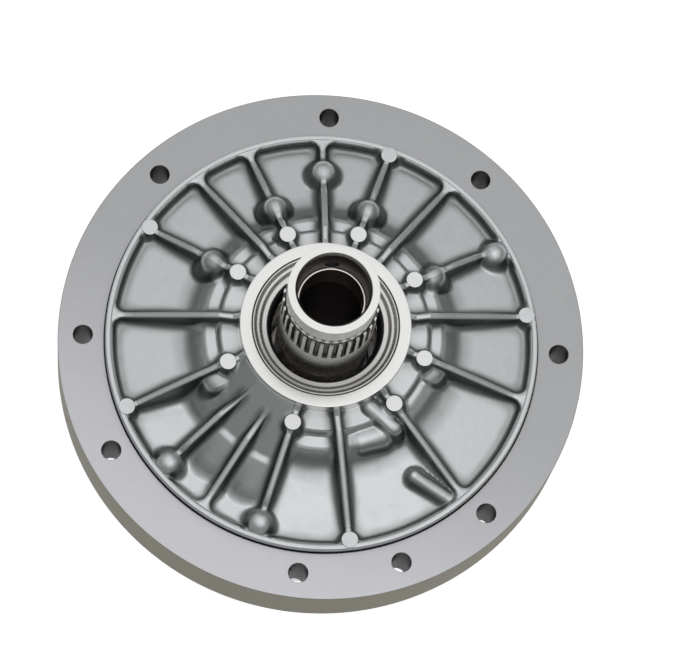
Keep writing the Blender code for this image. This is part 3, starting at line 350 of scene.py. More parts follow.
# O-ring, split rings and thrust washer
O_RING_CIRCLE = 0.1122
O_RING_HALF = 0.0020
O_RING_HEIGHT = FLANGE_FOOT - 0.0052
O_RING_SQUEEZE = 0.97
O_RING_SIDES = 20
SPLIT_RINGS = (1, 2, 3)
SPLIT_RING_RADII = (0.0311, 0.0345)
SPLIT_CUT = (0.030, 0.036)
SPLIT_HALF = 0.0004
SPLIT_TURN = 2.1
WASHER_RADII = (0.0343, 0.0503)
WASHER_CUT = (0.033, 0.052)
WASHER_GROOVES = 4
WASHER_GROOVE_HALF = 0.002
WASHER_GROOVE_TOP = WASHER_FOOT + 0.0008

# Bolts and dowels
HEAD_HEIGHT = 0.0055
HEX_RADIUS = 0.0075
CROWN_RADIUS = 0.0076
CROWN_FACE = 0.0062
COLLAR_RADIUS = 0.0084
COLLAR_HEIGHT = 0.0012
SHANK_RADIUS = 0.004
SHANK_END = 0.003
BOLT_CHAMFER = 0.001
BOLT_TURN = 0.4
DOWEL_RADIUS = 0.004
DOWEL_ROUND = 0.0006

# Valve bores along X: Y, mouth, way in and depth
BORES = {
    "regulator": (-0.040, 0.10569, -1.0, 0.1420),
    "clutch_control": (-0.072, 0.08709, -1.0, 0.0925),
    "converter_feed": (-0.015, -0.1120, 1.0, 0.0735),
}

# Valve trains: sleeve or plug, spring, curls, valve, lands and travel
VALVE_TRAINS = {
    "regulator": (0.025, 0.042, 7, 0.062, 4, 0.008),
    "clutch_control": (0.009, 0.030, 5, 0.040, 3, 0.006),
    "converter_feed": (0.009, 0.023, 4, 0.028, 2, 0.005),
}
TRAIN_START = 0.0086

# Parts of the valve trains
LAND_RADIUS = 0.0056
STEM_RADIUS = 0.0034
NOSE_LENGTH = 0.0037
SLEEVE_BORE = 0.0038
BOOST_RADIUS = 0.0034
BOOST_STEM_RADIUS = 0.0024
BOOST_STEM_LENGTH = 0.004
BORE_RADIUS = 0.006
BORE_RUN_OUT = 0.03
SPRING_WIRE = 0.0007
SPRING_RADIUS = 0.0043
WIRE_SIDES = 12
COIL_STEPS = 32
SLEEVE_WAIST = LAND_RADIUS - 0.0010
SLEEVE_LANDS = (0.0080, 0.0130)
STEM_LEAD = 0.0006
LAND_LEAD = 0.0004
BALANCE_GROOVE = 0.0003
BALANCE_PLACES = (0.35, 0.65)
PLUG_HOLE = 0.0022
PLUG_HOLE_DEPTH = 0.005
PLUG_LEAD = 0.0005
PLUG_GROOVE_HALF = 0.0010
PLUG_GROOVE_DEPTH = 0.0011
EYE_RADIUS = 0.0012
EYE_HEIGHT = 0.0026
EYE_REACH = 0.01

# Floor, lamp and camera
FLOOR_SIZE = 30.0
FLOOR_DROP = 0.0005
FLOOR_GLOW = 0.70
# Painted shadow on the floor round the axis: where the glow starts and ends, and its least share
SHADOW_FADE_START = 0.03
SHADOW_FADE_END = 0.10
SHADOW_GLOW_LEAST = 0.02
LAMP_PLACE = (0.4, -0.6, 1.9)
LAMP_AIM = (0, 0, 0.09)
LAMP_SIZE = 1.6
LAMP_POWER = 3.0
SENSOR_WIDTH = 36.0
VIEW_END = 100.0

# Shared by many pieces
WELD = 0.000001
CAD_WELD = WELD * 10
FLAT = math.radians(1)
CREASE = math.radians(32)
BODY_STEPS = 192
TURN_STEPS = 128
SMALL_STEPS = 40
PAST = 0.002
SMALL_ROUND = 0.0003
FINE_ROUND = 0.0002
QUARTER = math.pi / 2

# When a face counts as part of a wall, an edge or a level top
NEAR = 0.0003
NEAR_EDGE = 0.0004
NEAR_HOLE = 0.0001
ACROSS = 0.5
LEANING = 0.3
LEVEL = 0.9


def polar(radius, angle, z=0.0):
    """A point at a radius and an angle in degrees."""
    turn = math.radians(angle)
    return Vector((radius * math.cos(turn), radius * math.sin(turn), z))


# Selecting and starting pieces


def deselect():
    if bpy.context.mode != "OBJECT":
        bpy.ops.object.mode_set(mode="OBJECT")
    bpy.ops.object.select_all(action="DESELECT")


def pick(piece):
    deselect()
    piece.select_set(True)
    bpy.context.view_layer.objects.active = piece


def edit(piece):
    """Enters edit mode with the whole mesh selected."""
    pick(piece)
    bpy.ops.object.mode_set(mode="EDIT")
    bpy.ops.mesh.select_all(action="SELECT")


def leave():
    bpy.ops.object.mode_set(mode="OBJECT")


def faced_out():
    """Turns the selected faces outwards and leaves edit mode."""
    bpy.ops.mesh.normals_make_consistent(inside=False)
    leave()


def extruded(x, y, z):
    bpy.ops.mesh.extrude_region_move(TRANSFORM_OT_translate={"value": (x, y, z)})


def started(name):
    """Names the new primitive and moves its place into its mesh."""
    piece = bpy.context.object
    piece.name = name
    bpy.ops.object.transform_apply(location=True, rotation=True, scale=True)
    return piece


def cylinder(name, radius, foot, top, centre=(0.0, 0.0), sides=SMALL_STEPS):
    deselect()
    middle = (centre[0], centre[1], (foot + top) / 2)
    bpy.ops.mesh.primitive_cylinder_add(
        vertices=sides, radius=radius, depth=top - foot, location=middle
    )
    return started(name)


def block(name, lowest, highest):
    deselect()
    bpy.ops.mesh.primitive_cube_add(size=1.0, location=(Vector(lowest) + Vector(highest)) / 2)
    bpy.context.object.scale = Vector(highest) - Vector(lowest)
    return started(name)


def turned(name, outline, ring=True, steps=TURN_STEPS):
    """Spins an outline of radius and height about the axis; a ring closes on its first point."""
    deselect()
    bpy.ops.mesh.primitive_plane_add(size=0.01)
    piece = started(name)
    edit(piece)
    bpy.ops.mesh.merge(type="CENTER")
    here = outline[0]
    bpy.ops.transform.translate(value=(here[0], 0.0, here[1]))
    trail = list(outline[1:])
    if ring:
        trail.append(outline[0])
    for point in trail:
        extruded(point[0] - here[0], 0.0, point[1] - here[1])
        here = point
    bpy.ops.mesh.select_all(action="SELECT")
    bpy.ops.mesh.spin(steps=steps, angle=math.tau, center=(0, 0, 0), axis=(0, 0, 1))
    bpy.ops.mesh.select_all(action="SELECT")
    bpy.ops.mesh.remove_doubles(threshold=WELD)
    faced_out()
    return piece


# Changing pieces


def modified(piece, kind, **settings):
    """Adds a modifier and applies it."""
    pick(piece)
    modifier = piece.modifiers.new(kind.title(), kind)
    for key, value in settings.items():
        setattr(modifier, key, value)
    bpy.ops.object.modifier_apply(modifier=modifier.name)
    return piece


def rounded(piece, width, segments=2, angle=40.0):
    limit = math.radians(angle)
    return modified(
        piece, "BEVEL", width=width, segments=segments, limit_method="ANGLE", angle_limit=limit
    )


def joined(pieces):
    """Joins pieces into the first of them."""
    deselect()
    for piece in pieces:
        piece.select_set(True)
    bpy.context.view_layer.objects.active = pieces[0]
    bpy.ops.object.join()
    return pieces[0]


def shaped(piece, operation, *tools):
    """Cuts, adds or keeps what the tools cover, one tool after another, and deletes them."""
    for tool in tools:
        modified(piece, "BOOLEAN", object=tool, operation=operation, solver="MANIFOLD")
        bpy.data.objects.remove(tool, do_unlink=True)
        if not piece.data.polygons:
            raise RuntimeError(f"nothing is left of {piece.name}")
    return piece


def moved(piece, place=(0.0, 0.0, 0.0), turn=(0.0, 0.0, 0.0)):
    """Turns and moves a piece inside its own mesh."""
    pick(piece)
    piece.location = place
    piece.rotation_euler = turn
    bpy.ops.object.transform_apply(location=True, rotation=True, scale=True)
    return piece


def copied(piece, name, place=(0.0, 0.0, 0.0), turn=(0.0, 0.0, 0.0)):
    pick(piece)
    bpy.ops.object.duplicate(linked=False)
    twin = bpy.context.object
    twin.name = name
    return moved(twin, place, turn)


def repeated(piece, places):
    """One piece made of copies that stand apart, each at a radius and an angle."""
    twins = []
    for index, place in enumerate(places):
        twins.append(copied(piece, f"{piece.name}_{index}", polar(*place)))
    bpy.data.objects.remove(piece, do_unlink=True)
    return joined(twins)


def refined(node, name, width):
    """A copy of a CAD node with whole faces and rounded edges."""
    piece = bpy.data.objects.new(name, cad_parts[node].data.copy())
    bpy.context.scene.collection.objects.link(piece)
    edit(piece)
    bpy.ops.mesh.remove_doubles(threshold=CAD_WELD)
    bpy.ops.mesh.dissolve_limited(angle_limit=FLAT)
    faced_out()
    return rounded(piece, width)


def dressed(piece, materials, nodes, body="housing", zones=None):
    """Gives a finished piece its shading and materials, puts it under its body, and hides the CAD nodes
    it stands for.
    """
    pick(piece)
    bpy.ops.object.shade_smooth_by_angle(angle=CREASE)
    modified(piece, "WEIGHTED_NORMAL", keep_sharp=True, weight=80)
    mesh = piece.data
    mesh.materials.clear()
    for name in materials:
        mesh.materials.append(bpy.data.materials[name])
    if zones:
        count = len(mesh.polygons)
        centres = np.empty(count * 3)
        normals = np.empty(count * 3)
        mesh.polygons.foreach_get("center", centres)
        mesh.polygons.foreach_get("normal", normals)
        indices = zones(centres.reshape(-1, 3), normals.reshape(-1, 3))
        mesh.polygons.foreach_set("material_index", indices)
        mesh.update()
    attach(piece, body)
    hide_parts(*nodes)
    return piece


# The form of the casting


def least(first, second, reach):
    """The lower of two values, rounded off where they are close."""
    share = np.maximum(reach - np.abs(first - second), 0.0) / reach
    return np.minimum(first, second) - share * share * reach / 4


def along(line, radius):
    """Height or darkness at a radius, on a line of such points."""
    radii, values = zip(*line)
    return np.interp(radius, radii, values)


def away_from(place, x, y):
    """Distance of points, seen from above, from a place given as a radius and an angle."""
    spot = polar(*place)
    return np.hypot(x - spot.x, y - spot.y)


def eased(share):
    share = np.clip(share, 0.0, 1.0)
    return share * share * (3 - 2 * share)


def most(first, second, reach):
    """The higher of two values, rounded off where they are close."""
    return -least(-first, -second, reach)


def bays():
    """Start and end angle of each bay, going round once."""
    return list(zip(RIB_ANGLES, (*RIB_ANGLES[1:], RIB_ANGLES[0] + 360.0)))


def casting_grid():
    """Radii of the rings, and the angle of each column on each ring; columns follow the ribs."""
    numbers, stops = zip(*RING_STOPS)
    radii = np.interp(np.arange(numbers[-1] + 1), numbers, stops)
    columns = []
    for start, end in bays():
        width = math.radians(end - start)
        fit = np.minimum(radii * math.sin(width / 2) * COLUMN_ROOM / RIB_COLUMNS[-1], 1.0)
        shifts = [np.degrees(np.arcsin(away * fit / radii)) for away in RIB_COLUMNS]
        first = start + shifts[-1]
        last = end - shifts[-1]
        count = max(int((width * BAY_RADIUS - 2 * RIB_COLUMNS[-1]) / BAY_STEP), 2)
        columns += [start + shift for shift in shifts]
        columns += [first + (last - first) * step / count for step in range(1, count)]
        columns += [end - shift for shift in reversed(shifts[1:])]
    return radii, np.column_stack(columns)


def mound(away, size, top):
    """Height of a ball that goes over into steep sides, at a distance from its middle."""
    near = np.minimum(away, SHOULDER * size)
    return top - size + np.sqrt(size * size - near * near) - (away - near) * STEEP


def bar(x, y, start, end, tops, size):
    """Height of a rounded bar between two places; a dome is a bar of no length."""
    first = polar(*start)
    way = polar(*end) - first
    share = ((x - first.x) * way.x + (y - first.y) * way.y) / max(way.length_squared, WELD)
    share = np.clip(share, 0.0, 1.0)
    away = np.hypot(x - first.x - share * way.x, y - first.y - share * way.y)
    return mound(away, size, tops[0] + (tops[1] - tops[0]) * share)


def ribs_beside(angle):
    """Angles of the ribs before and after each angle, which counts on from the first rib."""
    ribs = np.array([*RIB_ANGLES, RIB_ANGLES[0] + 360.0])
    after = np.clip(np.searchsorted(ribs, angle, side="right"), 1, len(ribs) - 1)
    return ribs[after - 1], ribs[after]


def into_bay(radius, angle, sizes):
    """How far each point lies inside its bay, from the nearest rib or the rim."""
    before, after = ribs_beside(angle)
    half_rib = sizes.rib_width / 2
    from_before = radius * np.sin(np.radians(angle - before)) - half_rib
    from_after = radius * np.sin(np.radians(after - angle)) - half_rib
    inside = least(from_before, from_after, sizes.corner_round)
    return least(inside, RIM_INNER - radius, sizes.corner_round)


def tongued(radius, angle, sizes):
    """Radius on a ramp, counted further out near its sides so that its end is round."""
    before, after = ribs_beside(angle)
    cross = (2 * angle - before - after) / (after - before)
    return radius + sizes.tongue * cross * cross * eased((radius - TONGUE_START) / TONGUE_LENGTH)


def ground_height(radius, angle, sizes):
    """Height of shelves, ramps and floors, as if there were no ribs."""
    before, after = ribs_beside(angle)
    middle = (before + after) / 2
    ramped = (middle > RAMP_START) & (middle < RAMP_END)
    short = ramped & (middle < SHORT_RAMP_END)
    ramp = along(RAMP_LINE, tongued(radius, angle, sizes))
    narrow = (middle > NARROW_SHELF[0]) & (middle < NARROW_SHELF[1])
    drawn_in = NARROWER * eased((radius - LOW_SHELF_START) / NARROWER)
    shelf_radius = radius + np.where(narrow, drawn_in, 0.0)
    shelf = np.where(ramped, ramp, along(SHELF_LINE, shelf_radius))
    shelf = np.where(short, along(SHORT_RAMP_LINE, radius), shelf)
    climb = np.where(ramped, 0.0, FLOOR_RISE / (RIM_INNER - LOW_SHELF_END))
    out = radius * np.cos(np.radians(angle - middle))
    return most(shelf, FLOOR + climb * (RIM_INNER - out), sizes.floor_fillet)


def rib_share(radius, angle):
    """How much of its height the nearest rib has; the ribs on the ramps fade out by the hub."""
    before, after = ribs_beside(angle)
    nearest = np.where(angle - before < after - angle, before, after)
    rise = eased((radius - FADE_START) / FADE_LENGTH)
    return np.where(np.isin(nearest, FADING_RIBS), rise, 1.0)


def ribbed_height(radius, angle, sizes):
    """Height of ribs, shelves, ramps and floors at each radius and angle in degrees."""
    inside = into_bay(radius, angle, sizes)
    ground = ground_height(radius, angle, sizes)
    top = along(RIB_LINE, radius)
    for place in DOME_PLACES:
        apart = np.radians(angle - place[1])
        away = np.sqrt(radius * radius + place[0] ** 2 - 2 * radius * place[0] * np.cos(apart))
        top = top - sizes.rib_dip * (1 - eased(away / DIP_REACH))
    top = np.maximum(ground + (top - ground) * rib_share(radius, angle), ground)
    half_rib = sizes.rib_width / 2
    crown = np.clip((inside + half_rib) / half_rib, 0.0, 1.0)
    top = top - np.minimum(sizes.rib_crown, (top - ground) / 2) * crown * crown
    fillet = np.clip((top - ground) * FILLET_SHARE, WELD, sizes.floor_fillet)
    wall = np.maximum(top - ground - fillet, 0.0) * math.tan(sizes.rib_draft)
    steep = top - inside / math.tan(sizes.rib_draft)
    reach = np.clip((wall + fillet - inside) / fillet, 0.0, 1.0)
    curved = ground + fillet - fillet * np.sqrt(1 - reach * reach)
    height = np.where(inside < wall, np.maximum(steep, ground + fillet), curved)
    return least(height, top, np.clip(top - ground, WELD, sizes.rib_crown * 2))


def averaged(grid):
    """Mean of each point of a grid with its neighbours; the columns close into a circle."""
    across = (np.roll(grid, 1, axis=1) + 2 * grid + np.roll(grid, -1, axis=1)) / 4
    padded = np.vstack([across[:1], across, across[-1:]])
    return (padded[:-2] + 2 * across + padded[2:]) / 4


def casting_height(radius, angle, sizes):
    """Height of the whole cast face, with its domes, knobs, bars and the feet of its pads."""
    turn = np.radians(angle)
    x = radius * np.cos(turn)
    y = radius * np.sin(turn)
    ribbed = ribbed_height(radius, angle, sizes)
    height = ribbed
    raised = []
    for place, proud in zip(DOME_PLACES, DOME_PROUD):
        raised.append((place, place, proud, sizes.dome_radius, RAISED_SOFT))
    for place in KNOB_PLACES:
        raised.append((place, place, -KNOB_DROP, KNOB_RADIUS, KNOB_SOFT))
    for start, end, drop, half_width in CAST_BARS:
        raised.append((start, end, -drop, half_width, RAISED_SOFT))
    for start, end, proud, size, soft in raised:
        tops = [rib_top(start[0]) + proud, rib_top(end[0]) + proud]
        height = most(height, bar(x, y, start, end, tops, size), sizes.floor_fillet * soft)
    for place in pad_places():
        beyond = np.maximum(away_from(place, x, y) - sizes.pad_radius, 0.0)
        foot = rib_top(place[0]) - PAD_SINK - beyond * STEEP
        height = most(height, foot, sizes.floor_fillet * PAD_SOFT)
    raised_here = averaged(averaged((np.abs(height - ribbed) > WELD).astype(float))) > 0
    for _ in range(SOFT_PASSES):
        height = np.where(raised_here, averaged(height), height)
    height = np.where(radius > GRID_UNDER_RIM, RIM_TOP - PAD_SINK, height)
    return np.where(radius < RING_STOPS[0][1] + WELD, RIB_TOP_AT_HUB, height)


def cast_face(name, sizes):
    """A closed ring whose upper face has the ribs, shelves and pockets."""
    radii, angles = casting_grid()
    rings = len(radii) - 1
    columns = angles.shape[1]
    deselect()
    bpy.ops.mesh.primitive_grid_add(x_subdivisions=rings, y_subdivisions=columns, size=1.0)
    piece = started(name)
    count = len(piece.data.vertices)
    if count != (rings + 1) * (columns + 1):
        raise RuntimeError(f"the casting's grid has {count} points")
    flat = np.empty(count * 3)
    piece.data.vertices.foreach_get("co", flat)
    flat = flat.reshape(-1, 3)
    ring = np.rint((flat[:, 0] + 0.5) * rings).astype(int)
    column = np.rint((flat[:, 1] + 0.5) * columns).astype(int) % columns
    heights = casting_height(np.broadcast_to(radii[:, None], angles.shape), angles, sizes)
    radius = radii[ring]
    turn = np.radians(angles[ring, column])
    places = np.column_stack([radius * np.cos(turn), radius * np.sin(turn), heights[ring, column]])
    piece.data.vertices.foreach_set("co", places.ravel())
    edit(piece)
    bpy.ops.mesh.remove_doubles(threshold=WELD)
    bpy.ops.mesh.select_all(action="DESELECT")
    bpy.ops.mesh.select_mode(type="EDGE")
    bpy.ops.mesh.select_non_manifold()
    extruded(0, 0, 0)
    bpy.ops.transform.resize(value=(1, 1, 0), center_override=(0, 0, GRID_FOOT))
    bpy.ops.mesh.bridge_edge_loops()
    bpy.ops.mesh.select_all(action="SELECT")
    bpy.ops.mesh.select_mode(type="VERT")
    faced_out()
    return modified(piece, "TRIANGULATE")


def rib_top(radius):
    return float(along(RIB_LINE, radius))


def pad_places():
    """Radius and angle of every flat pad, those by the hub first."""
    inner = [(PAD_CIRCLE, angle) for angle in PAD_ANGLES]
    return inner + [(RIM_PAD_CIRCLE, angle) for angle in RIM_PAD_ANGLES]


# Settings


def measure(name, description, default):
    return bpy.props.FloatProperty(name=name, description=description, default=default, unit="LENGTH")


def slant(name, description, degrees):
    return bpy.props.FloatProperty(
        name=name, description=description, default=math.radians(degrees), subtype="ANGLE"
    )


def colour(name, description, default):
    return bpy.props.FloatVectorProperty(
        name=name, description=description, default=default, subtype="COLOR", size=3, min=0.0, max=1.0
    )


class PumpSizes(bpy.types.PropertyGroup):
    """Sizes of the detailed pump."""

    rib_width: measure("Rib width", "Width of a rib at its top", 0.0034)
    rib_crown: measure("Rib crown", "Rounding of a rib's top", 0.0007)
    rib_draft: slant("Rib draft", "Lean of the rib walls", 9)
    rib_dip: measure("Rib dip", "How far a rib sinks beside a dome", 0.0024)
    floor_fillet: measure("Floor fillet", "Radius between walls and floors", 0.0050)
    corner_round: measure("Corner round", "Rounding of the pockets in plan", 0.0055)
    tongue: measure("Tongue", "How far a ramp is rounded at its end", 0.0060)
    dome_radius: measure("Dome radius", "Radius of the bolt domes", 0.0077)
    pad_radius: measure("Pad radius", "Radius of the flat pads", 0.0042)
    pad_proud: measure("Pad height", "Height of a pad over its rib", 0.0006)
    edge_round: measure("Edge rounding", "Rounding of machined edges", 0.0006)
    # Reach of the painted shade along the walls of the casting
    shade_reach: measure("Grime reach", "How far the dark along a wall spreads", 0.0072)
    spline_count: bpy.props.IntProperty(
        name="Splines", description="Number of splines on the tube", default=32, min=8
    )


class PumpColours(bpy.types.PropertyGroup):
    """Colours of the detailed pump."""

    flange: colour("Flange", "Machined face of the flange", (0.47, 0.474, 0.478))
    # Painted light: the part of the flange face towards the lower left is lighter
    flange_painted_light: colour("Flange, lit side", "Machined face towards the light", (0.64, 0.64, 0.667))
    # Painted shade and a painted warm reflection on the flange's side wall
    flange_side_shade: colour("Flange wall", "Turned side of the flange", (0.26, 0.243, 0.185))
    # Painted shade inside holes and in the gaps between the bodies
    hole: colour("Hole", "Oily wall of a hole or a gap", (0.024, 0.024, 0.025))
    pad: colour("Pads", "Flat ejector pads", (0.79, 0.80, 0.79))
    # The inside of the tube is coloured darker than its outside
    bore: colour("Bore", "Oily inside of the tube", (0.20, 0.18, 0.175))
    casting: colour("Casting", "Die-cast ribs and pockets", (0.675, 0.69, 0.695))
    # Painted shade in the casting's corners and on its steep faces, also used for its darker ramps, rib
    # tops and rim
    casting_shade: colour("Casting shade", "Oil film in the casting's corners", (0.095, 0.110, 0.097))
    bright: colour("Bright cut", "Freshly machined aluminium", (0.81, 0.81, 0.785))
    steel: colour("Steel", "Ground steel", (0.66, 0.65, 0.63))
    gear: colour("Gear steel", "Oiled gear steel", (0.33, 0.33, 0.34))
    valve: colour("Valve", "Hard anodised aluminium", (0.45, 0.44, 0.42))
    spring: colour("Spring", "Drawn spring wire", (0.25, 0.25, 0.26))
    bronze: colour("Bronze", "Bored bushing", (0.78, 0.66, 0.54))
    bushing_edge: colour("Bushing edge", "Fresh edge of a bushing", (0.90, 0.82, 0.79))
    iron: colour("Iron", "Ground iron rings", (0.16, 0.16, 0.16))
    # Painted shade between the splines
    gap: colour("Spline gaps", "Oiled steel between the splines", (0.085, 0.083, 0.080))
    rubber: colour("Rubber", "Moulded seal rubber", (0.012, 0.012, 0.013))
    nylon: colour("Nylon", "Moulded thrust washer", (0.55, 0.50, 0.40))


class StageSettings(bpy.types.PropertyGroup):
    """Camera, light and floor."""

    tilt: slant("Tilt", "Camera's lean from the axis", 17.5)
    swing: slant("Swing", "Camera's turn about the axis", -13.5)
    distance: measure("Distance", "Camera's distance from the flange", 1.8)
    lens: bpy.props.FloatProperty(
        name="Lens", description="Focal length in millimetres", default=186.0, subtype="DISTANCE_CAMERA"
    )
    aim: bpy.props.FloatVectorProperty(
        name="Aim", description="Shift of the aim to the right and up", default=(0.0093, 0.0038), size=2
    )
    floor: colour("Floor", "Plain floor", (0.86, 0.86, 0.87))
    horizon: colour("Horizon", "Light from the sides", (0.150, 0.160, 0.154))
    zenith: colour("Overhead", "Light from above", (0.99, 0.99, 1.0))
    lean: slant("Lean", "Lean of the light towards the back", 9)
    light: bpy.props.FloatProperty(
        name="Light", description="Strength of the light from above", default=1.08
    )
    fall: bpy.props.FloatProperty(
        name="Fall-off", description="How fast the light fades towards the sides", default=2.6
    )


# Materials

FINE_GRAIN = 900.0
SCRATCH_DEPTH = 0.0002
CAST_DEPTH = 0.0004
STAINED = (0.87, 0.87, 0.87, 1.0)
CLEAN = (1.0, 1.0, 1.0, 1.0)


class Wire:
    """A socket of a node graph that can be added, subtracted and multiplied."""

    def __init__(self, graph, socket):
        self.graph = graph
        self.socket = socket

    def __add__(self, other):
        return self.graph.math("ADD", self, other)

    __radd__ = __add__

    def __mul__(self, other):
        return self.graph.math("MULTIPLY", self, other)

    __rmul__ = __mul__

    def __sub__(self, other):
        return self.graph.math("SUBTRACT", self, other)

    def __rsub__(self, other):
        return self.graph.math("SUBTRACT", other, self)


class Graph:
    """Adds nodes to the tree of a material or world."""

    def __init__(self, tree):
        self.tree = tree
        self.tree.nodes.clear()

    def node(self, kind, settings=None, inputs=None, output=0):
        """Adds a node: its settings first, then a value or a link for each socket."""
        made = self.tree.nodes.new(kind)
        for key, value in (settings or {}).items():
            setattr(made, key, value)
        for key, value in (inputs or {}).items():
            if isinstance(value, Wire):
                self.tree.links.new(value.socket, made.inputs[key])
            else:
                made.inputs[key].default_value = value
        return Wire(self, made.outputs[output]) if made.outputs else None

    def math(self, operation, first, second=0.0):
        return self.node("ShaderNodeMath", {"operation": operation}, {0: first, 1: second})

    def place(self):
        return self.node("ShaderNodeTexCoord", output=3)

    def part(self, vector, axis):
        return self.node("ShaderNodeSeparateXYZ", None, {0: vector}, output="XYZ".index(axis))

    def noise(self, scale, detail, rough=0.5):
        inputs = {"Vector": self.place(), "Scale": scale, "Detail": detail, "Roughness": rough}
        return self.node("ShaderNodeTexNoise", None, inputs)

    def spread(self, value, low, high, to_low=0.0, to_high=1.0, smooth=True):
        settings = {"interpolation_type": "SMOOTHSTEP" if smooth else "LINEAR"}
        inputs = {0: value, 1: low, 2: high, 3: to_low, 4: to_high}
        return self.node("ShaderNodeMapRange", settings, inputs)

    def mix(self, share, first, second, blend="MIX"):
        settings = {"data_type": "RGBA", "blend_type": blend}
        return self.node("ShaderNodeMix", settings, {0: share, 6: first, 7: second}, output=2)

    def bump(self, height, strength, distance):
        inputs = {"Strength": strength, "Distance": distance, "Height": height}
        return self.node("ShaderNodeBump", None, inputs)


def solid(value):
    return (*value, 1.0)


def scaled(value, factor):
    return tuple(min(part * factor, 1.0) for part in value) + (1.0,)


def surface(name):
    """A new material and its graph."""
    material = bpy.data.materials.new(name)
    material.use_nodes = True
    return Graph(material.node_tree)


def close(graph, inputs):
    shader = graph.node("ShaderNodeBsdfPrincipled", None, inputs)
    graph.node("ShaderNodeOutputMaterial", None, {"Surface": shader})


def metal(name, tint, rough, mottle=0.06, scale=60.0):
    """Metal with a slightly uneven colour and roughness."""
    graph = surface(name)
    cloud = graph.noise(scale, detail=4.0, rough=0.6)
    fine = graph.noise(FINE_GRAIN, detail=2.0, rough=0.6)
    inputs = {
        "Base Color": graph.mix(cloud, scaled(tint, 1 - mottle), scaled(tint, 1 + mottle)),
        "Roughness": rough - 0.06 + cloud * 0.08 + fine * 0.04,
        "Metallic": 1.0,
    }
    close(graph, inputs)


def flange_metal(colours):
    """Satin turned face with painted light: lighter and slightly lavender low on the left, greyer at
    the top.
    """
    graph = surface("flange_face")
    spot = graph.place()
    cloud = graph.noise(28.0, detail=5.0, rough=0.65)
    fine = graph.noise(700.0, detail=2.0, rough=0.6)
    stain = graph.spread(graph.noise(75.0, detail=6.0, rough=0.7), 0.36, 0.66)
    # Painted light: the face gets lighter towards the lower left
    lit_side = graph.part(spot, "X") * -0.45 - graph.part(spot, "Y") * 0.9
    share = graph.spread(lit_side, -0.02, 0.13)
    painted_light_tone = graph.mix(share, solid(colours.flange), solid(colours.flange_painted_light))
    tone = graph.mix(cloud * 0.4 + stain * 0.6, STAINED, CLEAN)
    inputs = {
        "Base Color": graph.mix(1.0, painted_light_tone, tone, blend="MULTIPLY"),
        "Roughness": 0.33 + cloud * 0.08 + stain * 0.06 + fine * 0.06,
        "Metallic": 1.0,
        "Normal": graph.bump(fine, 0.12, SCRATCH_DEPTH),
    }
    close(graph, inputs)


def cast_metal(colours):
    """As-cast skin: bright flats, mottled, with darker, greener painted shade in corners and on steep
    faces, and darker ramps and rib tops.
    """
    graph = surface("cast_skin")
    cloud = graph.spread(graph.noise(85.0, detail=6.0, rough=0.68), 0.32, 0.68)
    fine = graph.noise(FINE_GRAIN, detail=3.0, rough=0.65)
    uneven = graph.noise(260.0, detail=2.0)
    # The stored attribute holds the painted shade and the darker ramps, rib tops and rim
    depth = graph.node("ShaderNodeAttribute", {"attribute_name": "corner"}, None, output=2)
    share = graph.spread(depth + cloud * 0.10, 0.06, 1.06, smooth=False)
    light = graph.mix(cloud, scaled(colours.casting, 0.93), scaled(colours.casting, 1.05))
    inputs = {
        "Base Color": graph.mix(share, light, solid(colours.casting_shade)),
        "Roughness": 0.32 + cloud * 0.10 + fine * 0.06,
        "Metallic": 1.0,
        "Normal": graph.bump(fine * 0.6 + uneven, 0.16, CAST_DEPTH),
    }
    close(graph, inputs)


def shaded_flange_wall(colours):
    """Turned side of the flange, darker and warmer than its face: painted shade and a painted warm
    reflection.
    """
    graph = surface("flange_side_shade")
    cloud = graph.noise(35.0, detail=4.0, rough=0.6)
    fine = graph.noise(FINE_GRAIN, detail=2.0, rough=0.6)
    wall = colours.flange_side_shade
    inputs = {
        "Base Color": graph.mix(cloud, scaled(wall, 0.90), scaled(wall, 1.10)),
        "Roughness": 0.55 + cloud * 0.10,
        "Metallic": 0.25,
        "Specular IOR Level": 0.25,
        "Normal": graph.bump(fine, 0.10, SCRATCH_DEPTH),
    }
    close(graph, inputs)


def painted_hole_shade(colours):
    """Walls of deep holes and gaps, nearly black: painted shade."""
    graph = surface("hole_shade")
    cloud = graph.noise(300.0, detail=3.0)
    tint = graph.mix(cloud, scaled(colours.hole, 0.8), scaled(colours.hole, 1.2))
    close(graph, {"Base Color": tint, "Roughness": 0.45, "Specular IOR Level": 0.25})


def rubber_skin(colours):
    """Moulded rubber, a little uneven in gloss."""
    graph = surface("rubber")
    cloud = graph.noise(200.0, detail=3.0)
    close(graph, {"Base Color": solid(colours.rubber), "Roughness": 0.42 + cloud * 0.12})


def nylon_skin(colours):
    """Moulded nylon, a little cloudy."""
    graph = surface("nylon")
    cloud = graph.noise(90.0, detail=3.0)
    tint = graph.mix(cloud, scaled(colours.nylon, 0.92), scaled(colours.nylon, 1.05))
    close(graph, {"Base Color": tint, "Roughness": 0.5})


